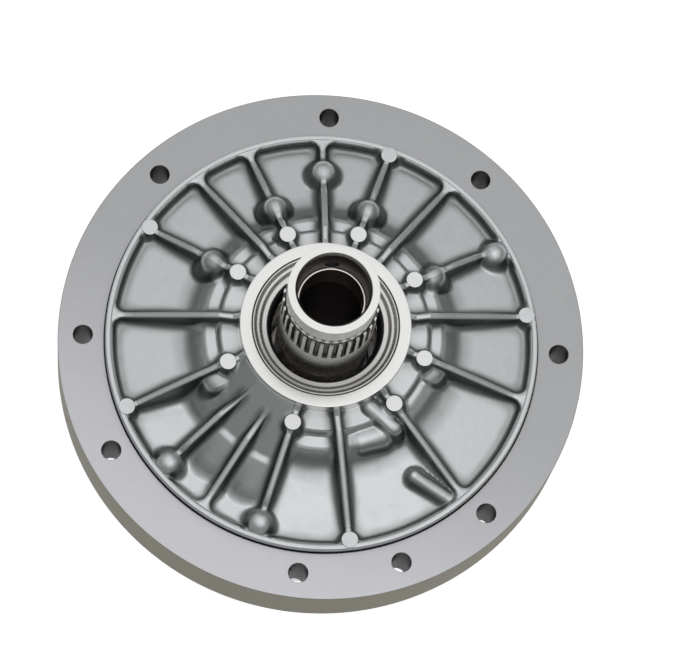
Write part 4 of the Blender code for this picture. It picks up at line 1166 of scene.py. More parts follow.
class PUMP_OT_materials(bpy.types.Operator):
    """Make the procedural materials"""

    bl_idname = "pump.materials"
    bl_label = "Materials"

    def execute(self, context):
        colours = context.scene.pump_colours
        flange_metal(colours)
        cast_metal(colours)
        shaded_flange_wall(colours)
        metal("bright_cut", colours.bright, 0.30, mottle=0.03)
        metal("pad_face", colours.pad, 0.40)
        metal("bore_steel", colours.bore, 0.40, mottle=0.20)
        painted_hole_shade(colours)
        metal("steel", colours.steel, 0.28, mottle=0.08)
        metal("gear_steel", colours.gear, 0.30, mottle=0.08)
        metal("anodised", colours.valve, 0.38)
        metal("spring_wire", colours.spring, 0.32)
        metal("bronze", colours.bronze, 0.30, mottle=0.10)
        metal("bushing_edge", colours.bushing_edge, 0.25)
        metal("iron", colours.iron, 0.40)
        metal("spline_gap_shade", colours.gap, 0.34, mottle=0.20, scale=400.0)
        rubber_skin(colours)
        nylon_skin(colours)
        return {"FINISHED"}


# Pieces


def hole_cutter(name, radius, foot, top, lead):
    """A round cutter that leaves a small chamfer at the top of its hole."""
    over = top + PAST
    outline = [(0.0, foot), (radius, foot), (radius, top - lead)]
    outline += [(radius + lead + PAST, over), (0.0, over)]
    return turned(name, outline, ring=False, steps=SMALL_STEPS)


class PUMP_OT_control_body(bpy.types.Operator):
    """Model the flanged control body with its holes and bores"""

    bl_idname = "pump.control_body"
    bl_label = "Control body"

    def execute(self, context):
        sizes = context.scene.pump_sizes
        outline = [(TUBE_SEAT, 0.0), (REAR_HUB_RADIUS, 0.0)]
        for index in SPLIT_RINGS:
            lowest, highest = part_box(f"sealing_ring_{index}")
            foot = lowest.z - SMALL_ROUND
            top = highest.z + SMALL_ROUND
            outline += [(REAR_HUB_RADIUS, foot), (RING_GROOVE, foot)]
            outline += [(RING_GROOVE, top), (REAR_HUB_RADIUS, top)]
        outline += [
            (REAR_HUB_RADIUS, SPIGOT_FOOT),
            (SPIGOT_RADIUS, SPIGOT_FOOT),
            (SPIGOT_RADIUS, O_RING_GROOVE_FOOT),
            (O_RING_GROOVE, O_RING_GROOVE_FOOT),
            (O_RING_GROOVE, O_RING_GROOVE_TOP),
            (SPIGOT_RADIUS, O_RING_GROOVE_TOP),
            (SPIGOT_RADIUS, FLANGE_FOOT),
            (FLANGE_RADIUS, FLANGE_FOOT),
            (FLANGE_RADIUS, FLANGE_TOP),
            (RECESS_RADIUS, FLANGE_TOP),
            (RECESS_RADIUS, SEAT),
            (SHOULDER_SEAT, SEAT),
            (SHOULDER_SEAT, SHOULDER_FOOT),
            (TUBE_SEAT, SHOULDER_FOOT),
        ]
        piece = turned("control_casting", outline, steps=BODY_STEPS)
        rounded(piece, sizes.edge_round)
        case_holes = [(CASE_HOLE_CIRCLE, angle) for angle in CASE_HOLE_ANGLES]
        hole = hole_cutter("hole", CASE_HOLE_RADIUS, FLANGE_FOOT - PAST, FLANGE_TOP, CASE_HOLE_LEAD)
        head = cylinder("head", HEAD_ROOM, SPIGOT_FOOT - PAST, SPIGOT_FOOT + HEAD_ROOM_DEPTH)
        shank = cylinder("shank", BOLT_HOLE, SPIGOT_FOOT, SEAT + PAST)
        pin = cylinder("pin", DOWEL_HOLE, SEAT - DOWEL_DEPTH, SEAT + PAST)
        port = cylinder("port", REAR_PORT, SPIGOT_FOOT - PAST, SEAT + PAST)
        shaped(
            piece,
            "DIFFERENCE",
            repeated(hole, case_holes),
            repeated(head, BOLT_PLACES),
            repeated(shank, BOLT_PLACES),
            repeated(pin, DOWEL_PLACES),
            repeated(port, REAR_PORT_PLACES),
        )
        room = Vector((SMALL_ROUND, SMALL_ROUND, SMALL_ROUND))
        for name, (y, mouth, inward, depth) in BORES.items():
            far = mouth + inward * depth
            near = mouth - inward * BORE_RUN_OUT
            bore = cylinder(f"{name}_bore", BORE_RADIUS, 0.0, abs(far - near))
            moved(bore, (min(far, near), y, VALVE_HEIGHT), (0.0, QUARTER, 0.0))
            lowest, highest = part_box(f"{name}_retainer")
            lowest = lowest - room
            lowest.z = SPIGOT_FOOT - PAST
            slot = block(f"{name}_slot", lowest, highest + room)
            shaped(piece, "DIFFERENCE", bore, slot)

        def zones(centres, normals):
            x, y, z = centres.T
            radii = np.hypot(x, y)
            upright = np.abs(normals[:, 2]) < ACROSS
            index = np.zeros(len(radii), np.int32)
            # Painted shade and reflection on the flange's side wall
            index[(radii > FLANGE_RADIUS - NEAR_EDGE) & upright] = 1
            # Painted shade: the walls of the case holes and of the recess round the pump body are
            # nearly black
            for place in case_holes:
                index[(away_from(place, x, y) < CASE_HOLE_RADIUS + NEAR_HOLE) & upright] = 2
            recess = (np.abs(radii - RECESS_RADIUS) < NEAR) & (z > SEAT)
            index[recess & upright] = 2
            return index

        skins = ["flange_face", "flange_side_shade", "hole_shade"]
        dressed(piece, skins, ["control_body"], zones=zones)
        return {"FINISHED"}


def mark_painted_shade(piece, sizes):
    """Stores how dark each point of the casting is: painted shade along walls, on steep faces and on
    the slope below the shelves, and darker ramps, rib tops and rim.
    """
    mesh = piece.data
    count = len(mesh.vertices)
    flat = np.empty(count * 3)
    lean = np.empty(count * 3)
    mesh.vertices.foreach_get("co", flat)
    mesh.vertex_normals.foreach_get("vector", lean)
    x, y, z = flat.reshape(-1, 3).T
    radius = np.hypot(x, y)
    angle = (np.degrees(np.arctan2(y, x)) - RIB_ANGLES[0]) % 360.0 + RIB_ANGLES[0]
    inside = into_bay(radius, angle, sizes)
    ramped = (angle > RAMP_START) & (angle < RAMP_END)
    short = angle < SHORT_RAMP_END
    scoop = ramped & ~short & (radius > RAMP_DARK[-1][0])
    reach = np.where(scoop, sizes.shade_reach / SCOOP_NARROWER, sizes.shade_reach)
    # Painted shade: darker near the walls of a bay, below the rib tops, and on steep faces
    beside = 1 - eased(inside / reach)
    under = eased((along(RIB_LINE, radius) - z) / SHADE_DEPTH)
    steep = 1 - np.abs(lean.reshape(-1, 3)[:, 2])
    slope = eased(steep * STEEP_GAIN - STEEP_START)
    shade = np.maximum(beside * under * WALL_SHADE, slope * STEEP_SHADE)
    # Darker on the ramps and rib tops, and painted shade on the slope below the shelves
    on_ramp = along(RAMP_DARK, tongued(radius, angle, sizes))
    ramp_and_slope_dark = np.where(short, along(SHORT_RAMP_DARK, radius), on_ramp)
    ramp_and_slope_dark = np.where(ramped, ramp_and_slope_dark, along(SLOPE_SHADE, radius))
    bare = np.where(inside > 0, 0.0, rib_share(radius, angle))
    shade = np.maximum(shade, ramp_and_slope_dark * (1 - bare))
    shade = np.maximum(shade, along(RIB_TOP_DARK, radius) * bare)
    # A slightly darker rim, and no darkening on the hub
    shade[radius > RIM_EDGE] = RIM_SHADE
    shade[radius < HUB_RADIUS] = 0.0
    attribute = mesh.attributes.new("corner", "FLOAT", "POINT")
    attribute.data.foreach_set("value", shade.astype(np.float32))


def crescent():
    """The filler between the gears' tips, under the pocket's roof."""
    piece = cylinder(
        "crescent", CRESCENT_OUTER, BODY_FOOT, ROOF + PAST, GEAR_POCKET_CENTRE, sides=TURN_STEPS
    )
    gear_room = cylinder("gear_room", CRESCENT_INNER, 0.0, HUB_TOP, sides=TURN_STEPS)
    lowest = (-CRESCENT_ROOM, -CRESCENT_ROOM, 0.0)
    beyond = block("beyond", lowest, (CRESCENT_ROOM, CRESCENT_END, HUB_TOP))
    moved(beyond, turn=(0.0, 0.0, math.radians(GEAR_OFFSET_ANGLE - 90.0)))
    return shaped(piece, "DIFFERENCE", gear_room, beyond)


class PUMP_OT_pump_body(bpy.types.Operator):
    """Model the ribbed die-cast pump body"""

    bl_idname = "pump.pump_body"
    bl_label = "Pump body"

    def execute(self, context):
        sizes = context.scene.pump_sizes
        piece = cast_face("pump_casting", sizes)
        outline = [
            (HUB_BORE, BODY_FOOT),
            (BODY_RADIUS, BODY_FOOT),
            (BODY_RADIUS, GAP_TOP),
            (BODY_RADIUS - RIM_LEAN, RIM_TOP),
            (RIM_WALL, RIM_TOP),
            (RIM_WALL, BASE_TOP),
            (HUB_RADIUS, BASE_TOP),
            (HUB_RADIUS, HUB_TOP),
            (SEAL_SEAT, HUB_TOP),
            (SEAL_SEAT, SEAL_FOOT - SMALL_ROUND),
            (HUB_BORE, SEAL_FOOT - SMALL_ROUND),
        ]
        base = turned("base", outline, steps=BODY_STEPS)
        rounded(base, sizes.edge_round)
        pocket = cylinder(
            "pocket", GEAR_POCKET_RADIUS, BODY_FOOT - PAST, ROOF, GEAR_POCKET_CENTRE, sides=TURN_STEPS
        )
        shaped(base, "DIFFERENCE", pocket)
        shaped(base, "UNION", crescent())
        inner_places = pad_places()[: len(PAD_ANGLES)]
        rim_places = pad_places()[len(PAD_ANGLES) :]
        inner_top = rib_top(PAD_CIRCLE) + sizes.pad_proud
        rim_top = rib_top(RIM_PAD_CIRCLE) + sizes.pad_proud
        inner_pad = cylinder("pad", sizes.pad_radius, inner_top - PAD_DEPTH, inner_top)
        rounded(inner_pad, SMALL_ROUND)
        rim_pad = cylinder("rim_pad", sizes.pad_radius, rim_top - PAD_DEPTH, rim_top)
        rounded(rim_pad, SMALL_ROUND)
        pads = joined([repeated(inner_pad, inner_places), repeated(rim_pad, rim_places)])
        shaped(piece, "UNION", base, pads)
        thread = cylinder("thread", BOLT_HOLE, BODY_FOOT - PAST, BOLT_HOLE_TOP)
        pin = cylinder("pin", DOWEL_HOLE, BODY_FOOT - PAST, SEAT + DOWEL_DEPTH)
        shaped(piece, "DIFFERENCE", repeated(thread, BOLT_PLACES), repeated(pin, DOWEL_PLACES))
        mark_painted_shade(piece, sizes)

        def zones(centres, normals):
            x, y, z = centres.T
            radii = np.hypot(x, y)
            level = (normals[:, 2] > LEVEL) & (np.abs(z - inner_top) < NEAR)
            index = np.zeros(len(radii), np.int32)
            index[(radii < HUB_RADIUS + NEAR_EDGE) & (z > SEAL_FOOT)] = 1
            # Painted shade: the outer wall in the gap by the flange is nearly black
            outside = (radii > BODY_RADIUS - NEAR) & (np.abs(normals[:, 2]) < LEANING)
            index[outside & (z < GAP_TOP)] = 3
            for place in inner_places:
                index[(away_from(place, x, y) < sizes.pad_radius) & level] = 2
            return index

        skins = ["cast_skin", "bright_cut", "pad_face", "hole_shade"]
        dressed(piece, skins, ["pump_body"], zones=zones)
        return {"FINISHED"}


def spline_ring(count):
    """Splines as a ring: a disc with its gaps drawn in, raised, tapered and cored."""
    deselect()
    bpy.ops.mesh.primitive_circle_add(
        vertices=count * SPLINE_STEPS,
        radius=TUBE_RADIUS,
        fill_type="NGON",
        location=(0, 0, SPLINE_FOOT),
    )
    piece = started("splines")
    edit(piece)
    bpy.ops.mesh.select_all(action="DESELECT")
    leave()
    for vertex in piece.data.vertices:
        step = math.degrees(math.atan2(vertex.co.y, vertex.co.x)) * count / 360.0 % 1.0
        vertex.select = SPLINE_GAP[0] < step < SPLINE_GAP[1]
    pick(piece)
    bpy.ops.object.mode_set(mode="EDIT")
    share = SPLINE_ROOT / TUBE_RADIUS
    bpy.ops.transform.resize(value=(share, share, 1), center_override=(0, 0, SPLINE_FOOT))
    bpy.ops.mesh.select_all(action="SELECT")
    extruded(0, 0, SPLINE_TOP - SPLINE_FOOT - SPLINE_LEAD)
    extruded(0, 0, SPLINE_LEAD)
    bpy.ops.transform.resize(value=(SPLINE_TAPER, SPLINE_TAPER, 1), center_override=(0, 0, SPLINE_TOP))
    bpy.ops.mesh.select_all(action="SELECT")
    faced_out()
    return shaped(piece, "DIFFERENCE", cylinder("core", SPLINE_CORE, 0.0, TUBE_TIP, sides=TURN_STEPS))


def tube_zones(centres, normals):
    """Materials of the tube: bore, drilled hole and spline gaps, the last two in painted shade, and the
    bright tip.
    """
    x, y, z = centres.T
    radii = np.hypot(x, y)
    index = np.zeros(len(radii), np.int32)
    index[(radii < TUBE_MOUTH + NEAR_EDGE) & (z < TIP_FACE)] = 1
    # Painted shade on the wall of the drilled hole
    drilled = (np.hypot(x, z - OIL_HOLE_HEIGHT) < OIL_HOLE_EDGE) & (np.abs(normals[:, 1]) < ACROSS)
    index[drilled & (y > 0) & (radii > TUBE_MOUTH + NEAR_HOLE) & (radii < TUBE_RELIEF)] = 3
    # Painted shade between the splines
    gap = (radii < SPLINE_FLANK) & (z > SPLINE_FOOT) & (z < SPLINE_TOP)
    index[gap & (radii > SPLINE_ROOT - NEAR_EDGE)] = 4
    index[z > TIP_FACE] = 2
    return index


class PUMP_OT_tube(bpy.types.Operator):
    """Model the splined stator tube"""

    bl_idname = "pump.tube"
    bl_label = "Stator tube"

    def execute(self, context):
        sizes = context.scene.pump_sizes
        outline = [
            (TUBE_BORE, REAR_SEAT_TOP),
            (BUSHING_SEAT, REAR_SEAT_TOP),
            (BUSHING_SEAT, TUBE_FOOT),
            (TUBE_RADIUS, TUBE_FOOT),
            (TUBE_RADIUS, TUBE_FLANGE_FOOT),
            (TUBE_FLANGE, TUBE_FLANGE_FOOT),
            (TUBE_FLANGE, TUBE_FLANGE_TOP),
            (TUBE_RADIUS, TUBE_FLANGE_TOP),
            (TUBE_RADIUS, SPLINE_FOOT),
            (SPLINE_ROOT, SPLINE_FOOT + SPLINE_LEAD),
            (SPLINE_ROOT, SPLINE_TOP),
            (TUBE_RELIEF, SPLINE_TOP + TUBE_ROUND),
            (TUBE_RELIEF, COLLAR_FOOT),
            (TUBE_COLLAR, COLLAR_FOOT),
            (TUBE_COLLAR, TUBE_TIP),
            (TUBE_MOUTH + MOUTH_LEAD, TUBE_TIP),
            (TUBE_MOUTH, MOUTH_LEAD_FOOT),
            (TUBE_MOUTH, MOUTH_FOOT),
            (BUSHING_SEAT, MOUTH_FOOT),
            (BUSHING_SEAT, FRONT_SEAT_FOOT),
            (TUBE_BORE, FRONT_SEAT_FOOT),
        ]
        piece = turned("splined_tube", outline)
        rounded(piece, TUBE_ROUND, angle=30.0)
        shaped(piece, "UNION", spline_ring(sizes.spline_count))
        hole = cylinder("oil_hole", OIL_HOLE_RADIUS, 0.0, OIL_HOLE_REACH)
        moved(hole, (0.0, 0.0, OIL_HOLE_HEIGHT), (-QUARTER, 0.0, 0.0))
        shaped(piece, "DIFFERENCE", hole)
        skins = ["steel", "bore_steel", "bright_cut", "hole_shade", "spline_gap_shade"]
        dressed(piece, skins, ["stator_tube"], zones=tube_zones)
        return {"FINISHED"}


def ring_piece(node, name, inner, outer, width):
    """A plain turned ring in the place of a CAD node."""
    foot = foot_of(node)
    top = top_of(node)
    piece = turned(name, [(inner, foot), (outer, foot), (outer, top), (inner, top)])
    return rounded(piece, width)


def upper_edges(centres, normals):
    """The second material on faces that look up."""
    return (normals[:, 2] > LEANING).astype(np.int32)


class PUMP_OT_bushings(bpy.types.Operator):
    """Model the three plain bushings"""

    bl_idname = "pump.bushings"
    bl_label = "Bushings"

    def execute(self, context):
        skins = ["bronze", "bushing_edge"]
        for node, name, inner, outer in BUSHINGS:
            piece = ring_piece(node, name, inner, outer, BUSHING_ROUND)
            dressed(piece, skins, [node], zones=upper_edges)
        return {"FINISHED"}


class PUMP_OT_seal(bpy.types.Operator):
    """Model the lip seal: stepped shell, rubber lip and garter ring"""

    bl_idname = "pump.seal"
    bl_label = "Lip seal"

    def execute(self, context):
        shell = turned("seal_shell", SHELL_OUTLINE)
        rounded(shell, SHELL_ROUND, segments=3, angle=15.0)
        dressed(shell, ["steel"], ["seal_case"])
        lip = turned("seal_rubber", LIP_OUTLINE)
        rounded(lip, FINE_ROUND)
        dressed(lip, ["rubber"], ["seal_lip"])
        garter = refined("seal_garter_spring", "garter_ring", GARTER_ROUND)
        dressed(garter, ["spring_wire"], ["seal_garter_spring"])
        return {"FINISHED"}


class PUMP_OT_rear_rings(bpy.types.Operator):
    """Model the O-ring, the split sealing rings and the thrust washer"""

    bl_idname = "pump.rear_rings"
    bl_label = "O-ring, sealing rings and washer"

    def execute(self, context):
        deselect()
        bpy.ops.mesh.primitive_torus_add(
            major_segments=BODY_STEPS,
            minor_segments=O_RING_SIDES,
            major_radius=O_RING_CIRCLE,
            minor_radius=O_RING_HALF,
            location=(0, 0, O_RING_HEIGHT),
        )
        ring = started("spigot_o_ring")
        edit(ring)
        bpy.ops.transform.resize(value=(1, 1, O_RING_SQUEEZE), center_override=(0, 0, O_RING_HEIGHT))
        leave()
        dressed(ring, ["rubber"], ["case_o_ring"])
        for index in SPLIT_RINGS:
            node = f"sealing_ring_{index}"
            piece = ring_piece(node, f"split_ring_{index}", *SPLIT_RING_RADII, FINE_ROUND)
            lowest = (SPLIT_CUT[0], -SPLIT_HALF, foot_of(node) - PAST)
            gap = block(f"gap_{index}", lowest, (SPLIT_CUT[1], SPLIT_HALF, top_of(node) + PAST))
            moved(gap, turn=(0.0, 0.0, SPLIT_TURN * index))
            shaped(piece, "DIFFERENCE", gap)
            dressed(piece, ["iron"], [node])
        washer = ring_piece("thrust_washer", "thrust_ring", *WASHER_RADII, SMALL_ROUND)
        lowest = (WASHER_CUT[0], -WASHER_GROOVE_HALF, WASHER_FOOT - PAST)
        highest = (WASHER_CUT[1], WASHER_GROOVE_HALF, WASHER_GROOVE_TOP)
        for index in range(WASHER_GROOVES):
            groove = block(f"groove_{index}", lowest, highest)
            moved(groove, turn=(0.0, 0.0, index * QUARTER))
            shaped(washer, "DIFFERENCE", groove)
        dressed(washer, ["nylon"], ["thrust_washer"])
        return {"FINISHED"}


class PUMP_OT_bolts(bpy.types.Operator):
    """Model one body bolt and one dowel, and copy them to their places"""

    bl_idname = "pump.bolts"
    bl_label = "Bolts and dowels"

    def execute(self, context):
        head_foot = foot_of("body_bolt_1")
        head_top = head_foot + HEAD_HEIGHT
        tip = top_of("body_bolt_1")
        head = cylinder("bolt", HEX_RADIUS, head_foot, head_top, sides=6)
        outline = [
            (0.0, head_foot),
            (CROWN_FACE, head_foot),
            (CROWN_RADIUS, head_foot + BOLT_CHAMFER),
            (CROWN_RADIUS, head_top),
            (0.0, head_top),
        ]
        shaped(head, "INTERSECT", turned("crown", outline, ring=False, steps=SMALL_STEPS))
        collar = cylinder("collar", COLLAR_RADIUS, head_top - COLLAR_HEIGHT, head_top)
        outline = [
            (0.0, head_top - BOLT_CHAMFER),
            (SHANK_RADIUS, head_top - BOLT_CHAMFER),
            (SHANK_RADIUS, tip - BOLT_CHAMFER),
            (SHANK_END, tip),
            (0.0, tip),
        ]
        shank = turned("shank", outline, ring=False, steps=SMALL_STEPS)
        shaped(head, "UNION", rounded(collar, SMALL_ROUND), shank)
        for index, place in enumerate(BOLT_PLACES):
            piece = copied(head, f"hex_bolt_{index + 1}", polar(*place), (0.0, 0.0, BOLT_TURN * index))
            dressed(piece, ["steel"], [f"body_bolt_{index + 1}"])
        bpy.data.objects.remove(head, do_unlink=True)
        pin = cylinder("pin", DOWEL_RADIUS, foot_of("body_dowel_1"), top_of("body_dowel_1"))
        rounded(pin, DOWEL_ROUND)
        for index, place in enumerate(DOWEL_PLACES):
            piece = copied(pin, f"dowel_pin_{index + 1}", polar(*place))
            dressed(piece, ["steel"], [f"body_dowel_{index + 1}"])
        bpy.data.objects.remove(pin, do_unlink=True)
        return {"FINISHED"}


class PUMP_OT_gears(bpy.types.Operator):
    """Refine the two gears"""

    bl_idname = "pump.gears"
    bl_label = "Gears"

    def execute(self, context):
        for node, name in (("drive_gear", "inner_gear"), ("driven_gear", "ring_gear")):
            piece = refined(node, name, FINE_ROUND)
            dressed(piece, ["gear_steel"], [node], body=node)
        return {"FINISHED"}


def placed(piece, train):
    """Moves a piece made along Z, from its depth in a bore, to that bore."""
    y, mouth, inward, _ = BORES[train]
    return moved(piece, (mouth, y, VALVE_HEIGHT), (0.0, inward * QUARTER, 0.0))


def land(start, end, radius):
    """Outline of a land with lead edges and two balance grooves."""
    outline = [(radius - LAND_LEAD, start), (radius, start + LAND_LEAD)]
    for share in BALANCE_PLACES:
        middle = start + (end - start) * share
        outline += [
            (radius, middle - BALANCE_GROOVE),
            (radius - BALANCE_GROOVE, middle - BALANCE_GROOVE),
            (radius - BALANCE_GROOVE, middle + BALANCE_GROOVE),
            (radius, middle + BALANCE_GROOVE),
        ]
    return outline + [(radius, end - LAND_LEAD), (radius - LAND_LEAD, end)]


def spool(name, start, length, lands):
    """A spool valve: equal lands on a thinner stem, and a nose at the far end."""
    pitch = length / (2 * lands - 1)
    outline = [(0.0, start)]
    for index in range(lands):
        low = start + 2 * index * pitch
        reach = pitch if index < lands - 1 else NOSE_LENGTH
        outline += land(low, low + pitch, LAND_RADIUS)
        outline += [(STEM_RADIUS, low + pitch), (STEM_RADIUS, low + pitch + reach)]
    outline.append((0.0, outline[-1][1]))
    return turned(name, outline, ring=False, steps=SMALL_STEPS)


def coil(name, start, length, curls):
    """A compression spring: a circle of wire screwed along its axis."""
    deselect()
    bpy.ops.mesh.primitive_circle_add(
        vertices=WIRE_SIDES,
        radius=SPRING_WIRE,
        location=(SPRING_RADIUS, 0.0, start + SPRING_WIRE),
        rotation=(QUARTER, 0.0, 0.0),
    )
    piece = started(name)
    modified(
        piece,
        "SCREW",
        axis="Z",
        screw_offset=(length - 2 * SPRING_WIRE) / curls,
        iterations=curls,
        steps=COIL_STEPS,
        render_steps=COIL_STEPS,
    )
    edit(piece)
    bpy.ops.mesh.remove_doubles(threshold=WELD)
    bpy.ops.mesh.fill_holes(sides=0)
    faced_out()
    return piece


def end_plug(name, start, end):
    """A plug with a ring groove and a hole to pull it by."""
    middle = (start + end) / 2
    groove = LAND_RADIUS - PLUG_GROOVE_DEPTH
    outline = [
        (0.0, start + PLUG_HOLE_DEPTH),
        (PLUG_HOLE, start + PLUG_HOLE_DEPTH),
        (PLUG_HOLE, start),
        (LAND_RADIUS - PLUG_LEAD, start),
        (LAND_RADIUS, start + PLUG_LEAD),
        (LAND_RADIUS, middle - PLUG_GROOVE_HALF),
        (groove, middle - PLUG_GROOVE_HALF),
        (groove, middle + PLUG_GROOVE_HALF),
        (LAND_RADIUS, middle + PLUG_GROOVE_HALF),
        (LAND_RADIUS, end - PLUG_LEAD),
        (LAND_RADIUS - PLUG_LEAD, end),
        (0.0, end),
    ]
    return turned(name, outline, ring=False, steps=SMALL_STEPS)


class PUMP_OT_valves(bpy.types.Operator):
    """Model the spool valves with their springs, plugs, sleeve and retainers"""

    bl_idname = "pump.valves"
    bl_label = "Valves and springs"

    def execute(self, context):
        for train, (stop, spring, curls, valve, lands, travel) in VALVE_TRAINS.items():
            y, mouth, inward, _ = BORES[train]
            stop_end = TRAIN_START + stop
            spring_start = stop_end + SMALL_ROUND
            valve_start = spring_start + spring + SMALL_ROUND
            piece = placed(spool(f"{train}_spool", valve_start, valve, lands), train)
            dressed(piece, ["anodised"], [f"{train}_valve"], body=f"{train}_valve")
            wire = placed(coil(f"{train}_coil", spring_start, spring, curls), train)
            dressed(wire, ["spring_wire"], [f"{train}_spring"])
            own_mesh(wire)
            lowest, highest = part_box(f"{train}_retainer")
            plate = block(f"{train}_plate", lowest, highest)
            eye = cylinder("eye", EYE_RADIUS, -EYE_REACH, EYE_REACH)
            middle = (lowest.x + highest.x) / 2
            moved(eye, (middle, y, lowest.z + EYE_HEIGHT), (0.0, QUARTER, 0.0))
            shaped(plate, "DIFFERENCE", eye)
            rounded(plate, SMALL_ROUND)
            dressed(plate, ["steel"], [f"{train}_retainer"])
            if train == "regulator":
                self.boost_pieces(train, stop_end)
                continue
            plug = placed(end_plug(f"{train}_end_plug", TRAIN_START, stop_end), train)
            dressed(plug, ["steel"], [f"{train}_plug"])
        return {"FINISHED"}

    def boost_pieces(self, train, end):
        """The sleeve at the regulator's mouth and the small valve that slides in it."""
        start = TRAIN_START
        first_end, second_start = (start + reach for reach in SLEEVE_LANDS)
        outline = [(SLEEVE_BORE, start), *land(start, first_end, LAND_RADIUS)]
        outline += [(SLEEVE_WAIST, first_end), (SLEEVE_WAIST, second_start)]
        outline += [*land(second_start, end, LAND_RADIUS), (SLEEVE_BORE, end)]
        sleeve = placed(turned("boost_bush", outline, steps=SMALL_STEPS), train)
        dressed(sleeve, ["anodised"], ["boost_sleeve"])
        start += SMALL_ROUND
        head = end - BOOST_STEM_LENGTH
        tip = end + BOOST_STEM_LENGTH
        outline = [(0.0, start), *land(start, head, BOOST_RADIUS)]
        outline += [(BOOST_STEM_RADIUS, head), (BOOST_STEM_RADIUS, tip - STEM_LEAD)]
        outline += [(BOOST_STEM_RADIUS - STEM_LEAD, tip), (0.0, tip)]
        valve = placed(turned("boost_spool", outline, ring=False, steps=SMALL_STEPS), train)
        dressed(valve, ["anodised"], ["boost_valve"], body="boost_valve")


def pale_floor(stage):
    """A wide plain floor that is pale to the camera and in reflections, keeps the shadow, and has a
    painted shadow round the axis.
    """
    deselect()
    bpy.ops.mesh.primitive_plane_add(size=FLOOR_SIZE, location=(0, 0, -FLOOR_DROP))
    floor = started("floor")
    graph = surface("floor")
    camera_ray, glossy_ray, clear_ray = (
        graph.node("ShaderNodeLightPath", output=ray)
        for ray in ("Is Camera Ray", "Is Glossy Ray", "Is Transmission Ray")
    )
    seen = graph.math("MINIMUM", camera_ray + glossy_ray + clear_ray, 1.0)
    away = graph.node("ShaderNodeVectorMath", {"operation": "LENGTH"}, {0: graph.place()}, output=1)
    # Painted shadow: the glow fades out round the axis, where the floor shows through the tube's bore
    strength = seen * graph.spread(away, SHADOW_FADE_START, SHADOW_FADE_END, SHADOW_GLOW_LEAST) * FLOOR_GLOW
    diffuse = graph.node("ShaderNodeBsdfDiffuse", None, {"Color": solid(stage.floor)})
    glow = graph.node("ShaderNodeEmission", None, {"Color": CLEAN, "Strength": strength})
    both = graph.node("ShaderNodeAddShader", None, {0: diffuse, 1: glow})
    graph.node("ShaderNodeOutputMaterial", None, {"Surface": both})
    floor.data.materials.append(bpy.data.materials["floor"])


def studio_light(scene, stage):
    """Soft light from all round, strongest from above, and one weak lamp."""
    world = bpy.data.worlds.new("studio")
    world.use_nodes = True
    scene.world = world
    graph = Graph(world.node_tree)
    way = graph.node("ShaderNodeTexCoord", output=0)
    lit = graph.part(way, "Z") * math.cos(stage.lean) + graph.part(way, "Y") * math.sin(stage.lean)
    share = graph.math("POWER", graph.math("MAXIMUM", lit, 0.0), stage.fall)
    tint = graph.mix(share, solid(stage.horizon), solid(stage.zenith))
    sky = graph.node("ShaderNodeBackground", None, {"Color": tint, "Strength": stage.light})
    graph.node("ShaderNodeOutputWorld", None, {"Surface": sky})
    deselect()
    bpy.ops.object.light_add(type="AREA", location=LAMP_PLACE)
    lamp = bpy.context.object
    lamp.name = "soft_lamp"
    lamp.data.shape = "RECTANGLE"
    lamp.data.size = LAMP_SIZE
    lamp.data.size_y = LAMP_SIZE
    lamp.data.energy = LAMP_POWER
    aim = Vector(LAMP_AIM) - lamp.location
    lamp.rotation_euler = aim.to_track_quat("-Z", "Y").to_euler()


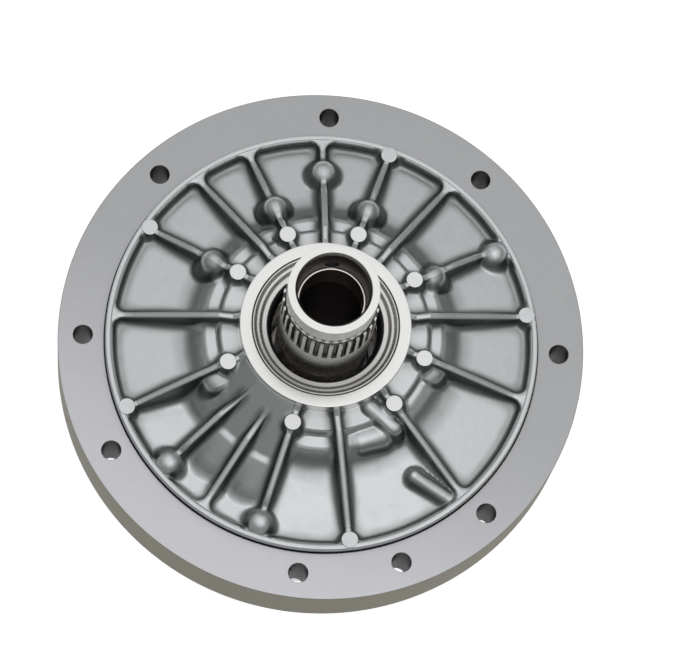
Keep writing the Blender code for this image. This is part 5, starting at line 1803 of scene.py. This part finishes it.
def photo_camera(scene, stage):
    """A camera at the photograph's angle, aimed beside the middle of the flange's face."""
    out = math.sin(stage.tilt)
    back = Vector((out * math.sin(stage.swing), -out * math.cos(stage.swing), math.cos(stage.tilt)))
    up_axis = (Vector((0, 1, 0)) - back * back.y).normalized()
    right = up_axis.cross(back)
    target = Vector((0, 0, FLANGE_TOP)) + right * stage.aim[0] + up_axis * stage.aim[1]
    deselect()
    bpy.ops.object.camera_add()
    camera = bpy.context.object
    camera.name = "photo_camera"
    camera.data.lens = stage.lens
    camera.data.sensor_width = SENSOR_WIDTH
    camera.data.clip_end = VIEW_END
    axes = Matrix((right, up_axis, back)).transposed().to_4x4()
    axes.translation = target + back * stage.distance
    camera.matrix_world = axes
    scene.camera = camera


class PUMP_OT_stage(bpy.types.Operator):
    """Set the floor, the light and the camera"""

    bl_idname = "pump.stage"
    bl_label = "Stage"

    def execute(self, context):
        scene = context.scene
        stage = scene.pump_stage
        scene.view_settings.view_transform = "Standard"
        pale_floor(stage)
        studio_light(scene, stage)
        photo_camera(scene, stage)
        return {"FINISHED"}


PIECES = (
    PUMP_OT_materials,
    PUMP_OT_control_body,
    PUMP_OT_pump_body,
    PUMP_OT_tube,
    PUMP_OT_bushings,
    PUMP_OT_seal,
    PUMP_OT_rear_rings,
    PUMP_OT_bolts,
    PUMP_OT_gears,
    PUMP_OT_valves,
    PUMP_OT_stage,
)


class PUMP_PT_panel(bpy.types.Panel):
    """Lists the steps that build the pump"""

    bl_idname = "PUMP_PT_panel"
    bl_label = "Oil Pump"
    bl_space_type = "VIEW_3D"
    bl_region_type = "UI"
    bl_category = "Oil Pump"

    def draw(self, context):
        for step in PIECES:
            self.layout.operator(step.bl_idname)


CLASSES = (PumpSizes, PumpColours, StageSettings, *PIECES, PUMP_PT_panel)


def register():
    for each in CLASSES:
        bpy.utils.register_class(each)
    bpy.types.Scene.pump_sizes = bpy.props.PointerProperty(type=PumpSizes)
    bpy.types.Scene.pump_colours = bpy.props.PointerProperty(type=PumpColours)
    bpy.types.Scene.pump_stage = bpy.props.PointerProperty(type=StageSettings)


def unregister():
    del bpy.types.Scene.pump_stage
    del bpy.types.Scene.pump_colours
    del bpy.types.Scene.pump_sizes
    for each in reversed(CLASSES):
        bpy.utils.unregister_class(each)


def main():
    register()
    for step in PIECES:
        group, name = step.bl_idname.split(".")
        getattr(getattr(bpy.ops, group), name)()


if __name__ == "__main__":
    main()
